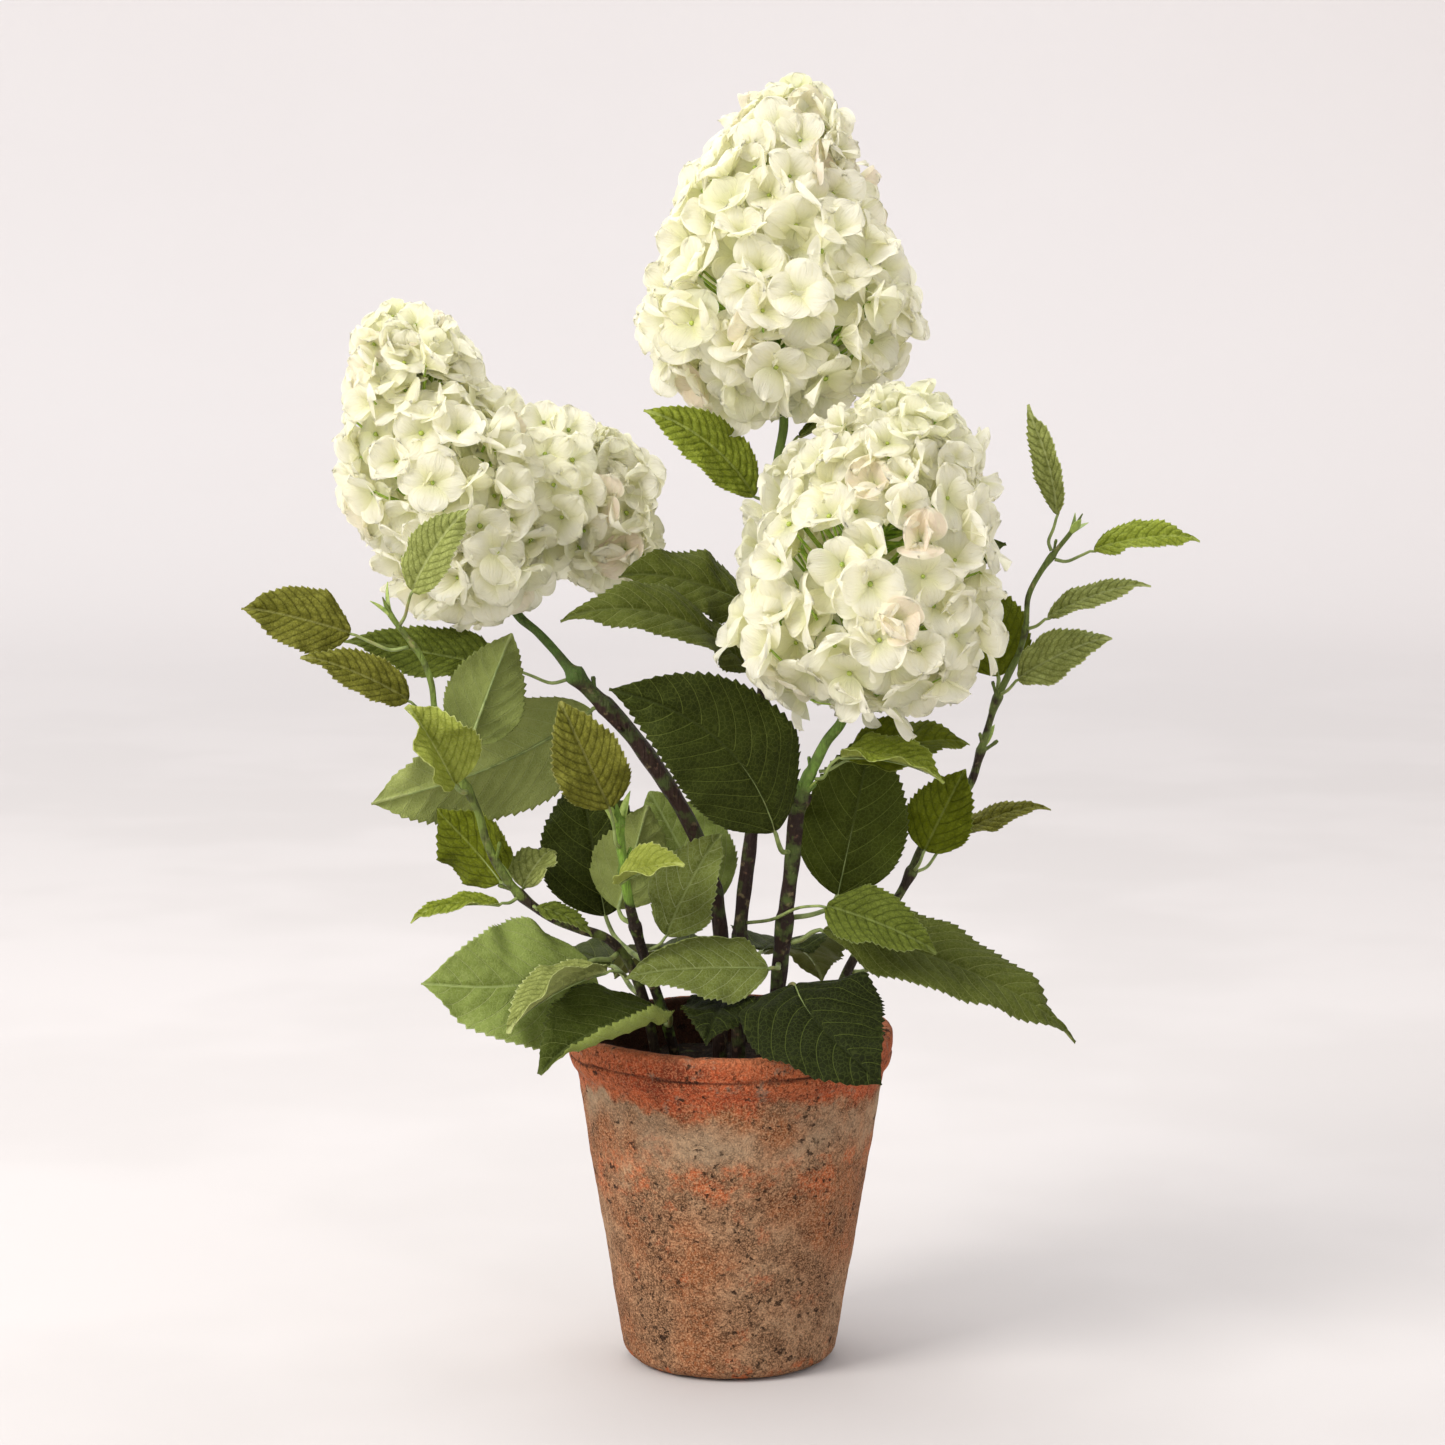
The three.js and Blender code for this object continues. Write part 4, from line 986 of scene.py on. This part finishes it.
# Small pointed bracts, by stem: height, turn, length, width.
BRACTS = {
    "shoot_left": [(384, 30, 14, 4.5), (382, 210, 11, 4.0), (249, 80, 14, 5.0)],
    "shoot_middle": [(279, 40, 17, 6.5), (279, 215, 18, 6.5), (276, 120, 13, 5.0)],
    "shoot_right": [(420, 20, 9, 4.0), (420, 140, 9, 4.0), (420, 260, 9, 4.0), (311, 60, 12, 4.5)],
    "stem_right": [(296, 330, 13, 5.0)],
    "stem_centre": [(439, 30, 11, 4.0)],
}
# A peg's thickness from foot to head, in shares.
PEG_TAPER = np.array([1.3, 1.05, 0.95, 0.9, 0.95, 1.15, 0.8])
# Above this height in millimetres the sheath is drawn over a thinner wire: height, share of the thickness.
SLIMMER = {"stem_left": (351, 0.76), "stem_centre": (437, 0.86), "stem_right": (297, 0.84)}


def read_stem(name):
    """The stem's centre line and radii from its CAD rings, foot first."""
    start, rings, end = cad_rings(name, 8)
    if start[2] > end[2]:
        start, end, rings = end, start, rings[::-1]
    centres = np.array([r.mean(0) for r in rings] + [end])
    radii = np.array([np.linalg.norm(r - r.mean(0), axis=1).mean() for r in rings])
    ends_in_bud = np.linalg.norm(end - centres[-2]) > 4 * MM
    radii = np.append(radii, 0.35 * MM if ends_in_bud else radii[-1] * 0.6)
    return centres, radii


def side_of_stem(line, ahead, height, turn):
    """A stem's point, direction and outward side at a height in millimetres and a turn in degrees."""
    k = int(np.argmin(np.abs(line[:, 2] - height * MM)))
    axis = ahead[k]
    first = square_to(np.array([1.0, 0.0, 0.1]), axis)
    angle = math.radians(turn)
    out = math.cos(angle) * first + math.sin(angle) * np.cross(axis, first)
    return k, axis, out


def build_bract(base, axis, out, length, width):
    """Points and faces of a small hooded bract, closed and pointed."""
    rows, sides = 9, 8
    points = []
    side = np.cross(axis, out)
    for i in range(rows):
        s = i / (rows - 1)
        centre = base + axis * (length * s) + out * (length * 0.42 * s**1.4)
        wide = width / 2 * max(0.06, math.sin(math.pi * min(1.0, s * 0.88 + 0.12)) ** 0.8)
        for j in range(sides):
            a = 2 * math.pi * j / sides
            curl = 0.32 * wide * math.cos(a) ** 2
            points.append(centre + side * (wide * math.cos(a)) + out * (0.3 * MM * math.sin(a) - curl))
    faces = [list(f) for f in grid_faces(rows, sides, closed=True)]
    faces.append(list(range(sides))[::-1])
    faces.append([(rows - 1) * sides + j for j in range(sides)])
    return np.array(points), faces


def build_stem(name, sheath, bract_green):
    """A sheathed wire stem with its joints, pegs and bracts."""
    rng = random.Random(name)
    centres, radii = read_stem(name)
    knots = np.concatenate([[0], np.cumsum(np.linalg.norm(np.diff(centres, axis=0), axis=1))])
    wanted = np.linspace(0, knots[-1], int(knots[-1] / (1.6 * MM)))
    line = smooth_rows(knots, centres, wanted)
    thick = np.interp(wanted, knots, radii)
    heights = line[:, 2] / MM
    if name in SLIMMER:
        height, share = SLIMMER[name]
        thick = thick * (1 - (1 - share) * np.clip((heights - height) / 3, 0, 1))
    for height, more, long in JOINTS[name]:
        gap = (heights - height) / long
        # A joint swells slowly from below and ends in a lip above.
        swell = np.where(gap < 0, np.exp(-gap**2), np.exp(-(gap * 3.5) ** 2))
        thick = thick * (1 + more * swell)
    # Slightly out of round and not quite straight, as moulded sheaths are.
    uneven = 0.05 * np.sin(wanted / (9 * MM) + rng.uniform(0, 6)) + 0.03 * np.sin(wanted / (3.1 * MM))
    thick = thick * (1 + uneven)
    sway_x, sway_y = np.sin(wanted / (31 * MM) + rng.uniform(0, 6)), np.cos(wanted / (27 * MM))
    line = line + np.stack([sway_x, sway_y, 0 * wanted], 1) * (0.35 * MM)
    ahead = np.gradient(line, axis=0)
    ahead /= np.linalg.norm(ahead, axis=1)[:, None]
    sides = 18
    points, faces = tube(line, thick, sides)
    ring = np.repeat(np.arange(len(line)), sides)
    turn = np.tile(np.arange(sides), len(line)) * 2 * math.pi / sides
    ridge = 1 + 0.045 * np.sin(turn * 5 + ring * 0.05) + 0.02 * np.sin(turn * 9 - ring * 0.11)
    body = Gathered()
    body.add(line[ring] + (points - line[ring]) * ridge[:, None], faces)
    for height, degrees, length, width in PEGS.get(name, []):
        k, axis, out = side_of_stem(line, ahead, height, degrees)
        lean = unit(out + 0.9 * axis)
        s = np.linspace(0, 1, len(PEG_TAPER))[:, None]
        path = line[k] + out * (thick[k] * 0.5) + lean * (length * MM * s) + axis * (1.2 * MM * s**2)
        body.add(*tube(path, width * MM * PEG_TAPER, 8))
    for height, degrees, length, width in BRACTS.get(name, []):
        k, axis, out = side_of_stem(line, ahead, height, degrees)
        foot = line[k] + out * (thick[k] * 0.8)
        body.add(*build_bract(foot, axis, out, length * MM, width * MM), slot=1)
    make_piece(name + "_sheath", body.points(), body.faces, [sheath, bract_green], body.slots, None,
               [name])


# ---------------------------------------------------------------- pot and filling

POT_ROWS, POT_SIDES = 380, 320
# Unevenness of the thrown wall and of the filling: height in millimetres, count to the metre.
WALL_LUMPS = [(0.7, 22), (0.4, 75), (0.22, 230)]
BED_LUMPS = [(2.6, 60), (1.3, 170), (0.7, 420)]
# Chips on the lip: turn in degrees, width along the lip and depth in millimetres.
CHIPS = [(-14, 7, 2.6), (-62, 4, 1.0), (-150, 6, 1.3), (35, 9, 1.6), (118, 5, 1.2), (-103, 3, 0.8)]
# The groove round the rim: how far under the lip, half its width, its wander (m) and its depth (mm).
GROOVE_DROP, GROOVE_HALF, GROOVE_WANDER, GROOVE_DEEP = 0.012, 0.001, 0.0024, 0.9


def pot_outline():
    """The pot's outline from the middle of its foot, out, up, over the lip and down to its floor."""
    mesh = NODES["pot"].data
    points = {}
    own = {}
    for vertex in mesh.vertices:
        x, y, z = vertex.co
        if abs(y) < 1e-5 and x > -1e-6:
            key = (round(x, 5), round(z, 5))
            points[key] = (x, z)
            own[vertex.index] = key
    near = {key: set() for key in points}
    for edge in mesh.edges:
        a, b = edge.vertices
        if a in own and b in own and own[a] != own[b]:
            near[own[a]].add(own[b])
            near[own[b]].add(own[a])
    at = min(points, key=lambda k: (k[1] > 1e-4, k[0]))
    line = [at]
    while True:
        step = [k for k in near[line[-1]] if k not in line]
        if not step:
            break
        line.append(min(step, key=lambda k: math.hypot(k[0] - line[-1][0], k[1] - line[-1][1])))
    return np.array([points[k] for k in line])


def build_pot(clay):
    """The thrown pot: slightly uneven, with a groove round the rim, chips on its lip and a worn foot."""
    outline = pot_outline()
    run = np.concatenate([[0], np.cumsum(np.hypot(*np.diff(outline, axis=0).T))])
    wanted = np.linspace(0, run[-1], POT_ROWS)
    radius = np.interp(wanted, run, outline[:, 0])
    height = np.interp(wanted, run, outline[:, 1])
    for _ in range(3):
        radius[1:-1] = (radius[:-2] + 2 * radius[1:-1] + radius[2:]) / 4
        height[1:-1] = (height[:-2] + 2 * height[1:-1] + height[2:]) / 4
    radius[0] = radius[-1] = 0.0015
    top = height.max()
    lip = int(np.argmax(height))
    angles = np.arange(POT_SIDES) * 2 * math.pi / POT_SIDES
    slope_r, slope_z = np.gradient(radius), np.gradient(height)
    size = np.hypot(slope_r, slope_z)
    normal_r, normal_z = slope_z / size, -slope_r / size
    points, values = [], []
    for k in range(len(wanted)):
        outside = k <= lip
        for a in angles:
            flat = Vector((math.cos(a) * radius[k], math.sin(a) * radius[k], height[k]))
            push = lumps(flat, WALL_LUMPS)
            crack = 0.0
            if outside and height[k] > top - 0.05:
                # The groove wanders and is broken in places.
                wander = GROOVE_WANDER * noise.noise(Vector((math.cos(a) * 2.1, math.sin(a) * 2.1, 3.0)))
                gap = abs(height[k] - (top - GROOVE_DROP) - wander) / GROOVE_HALF
                open_here = 0.5 + 0.9 * noise.noise(Vector((math.cos(a) * 3.7, math.sin(a) * 3.7, 9.0)))
                crack = max(0.0, 1 - gap**2) * min(1.0, max(0.0, open_here + 0.25))
                push -= GROOVE_DEEP * crack
            wear = 0.0
            rest = abs(k - lip)
            if rest < 14:
                for turn, wide, deep in CHIPS:
                    away = (a - math.radians(turn) + math.pi) % (2 * math.pi) - math.pi
                    beside = away * radius[k] / (wide * MM)
                    bite = max(0.0, 1 - beside**2) * max(0.0, 1 - (rest / 11) ** 2)
                    push -= deep * bite * (0.7 + 0.6 * noise.noise(flat * 400))
                wear = max(0.0, 1 - rest / 9)
            if height[k] < 1e-4:
                # The foot stays flat.
                push = min(push, 0.0) if normal_z[k] > 0 else 0.0
            move = push * MM
            r = radius[k] + normal_r[k] * move
            z = max(0.0, height[k] + normal_z[k] * move)
            points.append((math.cos(a) * r, math.sin(a) * r, z))
            values.append((0.0 if outside else 1.0, crack, wear))
    faces = [list(f) for f in grid_faces(POT_ROWS, POT_SIDES, closed=True)]
    faces.append(list(range(POT_SIDES))[::-1])
    faces.append([(POT_ROWS - 1) * POT_SIDES + j for j in range(POT_SIDES)])
    make_piece("pot_clay", points, faces, [clay], None, {"pot": values}, ["pot"])


def build_fill(clay):
    """The filling: a lumpy bed that the stems stand in, with a plain wall and foot."""
    low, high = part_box("potting_fill")
    reach = (high.x - low.x) / 2
    top = high.z - 0.003
    rings, sides = 44, 128
    points = []
    for k in range(rings):
        r = max(0.002, reach * 0.985 * k / (rings - 1))
        for j in range(sides):
            a = 2 * math.pi * j / sides
            spot = Vector((math.cos(a) * r, math.sin(a) * r, 0.0))
            crown = (1 - (r / reach) ** 2) * 0.0015
            points.append((spot.x, spot.y, top + crown + lumps(spot, BED_LUMPS) * MM))
    for r, z in ((reach * 0.975, top - 0.012), (reach * 0.72, low.z), (0.002, low.z)):
        for j in range(sides):
            a = 2 * math.pi * j / sides
            points.append((math.cos(a) * r, math.sin(a) * r, z))
    faces = [list(f) for f in grid_faces(rings + 3, sides, closed=True)]
    faces.append(list(range(sides))[::-1])
    faces.append([(rings + 2) * sides + j for j in range(sides)])
    make_piece("potting_bed", points, faces, [clay], None, None, ["potting_fill"])


# ---------------------------------------------------------------- stage, light, camera

# The lens and its sensor in millimetres, where the camera stands, and its turn up from straight down.
LENS, SENSOR = 100.5, 36.0
CAMERA_PLACE, CAMERA_TURN = (-0.004, -2.0, 0.595), 82.3134
# Soft boxes: place, size in metres, power in watts, colour. All of them look at the middle of the plant.
MIDDLE = (0.0, 0.0, 0.3)
SOFT_BOXES = {
    "key_softbox": ((-2.5, -1.9, 2.5), 1.5, 122, "#FFFCF8"),
    "fill_softbox": ((2.2, -1.7, 1.2), 1.6, 9, "#F6F8FF"),
    "top_softbox": ((-0.3, 0.9, 2.2), 1.4, 22, "#FFFFFF"),
}


def build_stage(paper):
    """A wide shallow bowl of pale paper: floor, curve and wall all round."""
    floor, curve, wall_top = 3.2, 1.2, 1.8
    profile = [(r, 0.0) for r in (0.001, 0.3, 0.8, 1.5, 2.2, 2.8, floor)]
    for turn in np.linspace(0.1, math.pi / 2, 16):
        profile.append((floor + curve * math.sin(turn), curve - curve * math.cos(turn)))
    profile += [(floor + curve, 1.5), (floor + curve, wall_top)]
    sides = 96
    points = [(r * math.cos(2 * math.pi * k / sides), r * math.sin(2 * math.pi * k / sides), z - 0.0002)
              for r, z in profile for k in range(sides)]
    mesh = bpy.data.meshes.new("paper_bowl")
    faces = grid_faces(len(profile), sides, closed=True)
    mesh.from_pydata(points, [], [tuple(int(i) for i in f) for f in faces[:, ::-1]])
    mesh.materials.append(paper)
    mesh.polygons.foreach_set("use_smooth", np.ones(len(mesh.polygons), bool))
    bowl = bpy.data.objects.new("paper_bowl", mesh)
    bpy.context.scene.collection.objects.link(bowl)


def soft_light(name, place, size, power, colour):
    """A square soft box that looks at the middle of the plant."""
    data = bpy.data.lights.new(name, "AREA")
    data.shape, data.size, data.energy = "SQUARE", size, power
    data.color = linear(colour)[:3]
    lamp = bpy.data.objects.new(name, data)
    lamp.location = place
    lamp.rotation_euler = (Vector(MIDDLE) - Vector(place)).to_track_quat("-Z", "Y").to_euler()
    bpy.context.scene.collection.objects.link(lamp)


def build_lights():
    """A big soft key at the front left, a weak fill at the right and a lit room."""
    for name, values in SOFT_BOXES.items():
        soft_light(name, *values)
    world = bpy.data.worlds.new("studio_room")
    world.use_nodes = True
    background = world.node_tree.nodes["Background"]
    background.inputs["Color"].default_value = linear("#FAF8FA")
    background.inputs["Strength"].default_value = 1.0
    bpy.context.scene.world = world
    bpy.context.scene.view_settings.view_transform = "Standard"


def build_camera():
    """A long lens two metres off, a little above the flowers and tilted slightly down."""
    data = bpy.data.cameras.new("camera")
    data.lens, data.sensor_width = LENS, SENSOR
    data.clip_start, data.clip_end = 0.1, 20.0
    camera = bpy.data.objects.new("camera", data)
    camera.location = CAMERA_PLACE
    camera.rotation_euler = (math.radians(CAMERA_TURN), 0.0, 0.0)
    bpy.context.scene.collection.objects.link(camera)
    bpy.context.scene.camera = camera


# ---------------------------------------------------------------- assembly

# An untouched start-up scene has these three, which have no part in the plant.
for spare in ("Cube", "Light", "Camera"):
    if spare in bpy.data.objects and spare not in NODES:
        bpy.data.objects.remove(bpy.data.objects[spare])

pot_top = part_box("pot")[1].z
bare_rim, worn_foot = 0.027, 0.010

build_pot(old_terracotta(pot_top - bare_rim, worn_foot))
build_fill(potting_clay())

bract_green = green_plastic("moulded_bract_polyethylene", "#A3B65A", "#7F9A3F")
for stem, (bark, green, start, end, lean) in SHEATHS.items():
    build_stem(stem, stem_sheath(stem, bark, green, start, end, lean), bract_green)

petals = petal_cloth("polyester_petal", "#FFFDF6", "#DCE184", 0.56)
eyes = green_plastic("moulded_floret_heart", "#A9B84E", "#7E9A36")
twigs = green_plastic("moulded_floret_stalk", "#A2BE4C", "#7FA63A")
for head in HEAD_FLORETS:
    build_head(head, petals, eyes, twigs)

cloths = {look: leaf_cloth(look) for look in LEAF_FINISHES}
stalk_plastic = leaf_stalk_plastic()
for branch, looks in LEAF_LOOKS.items():
    for number, look in enumerate(looks.split(), 1):
        leaf = f"{branch}_leaf_{number}"
        build_leaf(leaf, look, cloths[look], stalk_plastic)

build_stage(studio_paper())
build_lights()
build_camera()
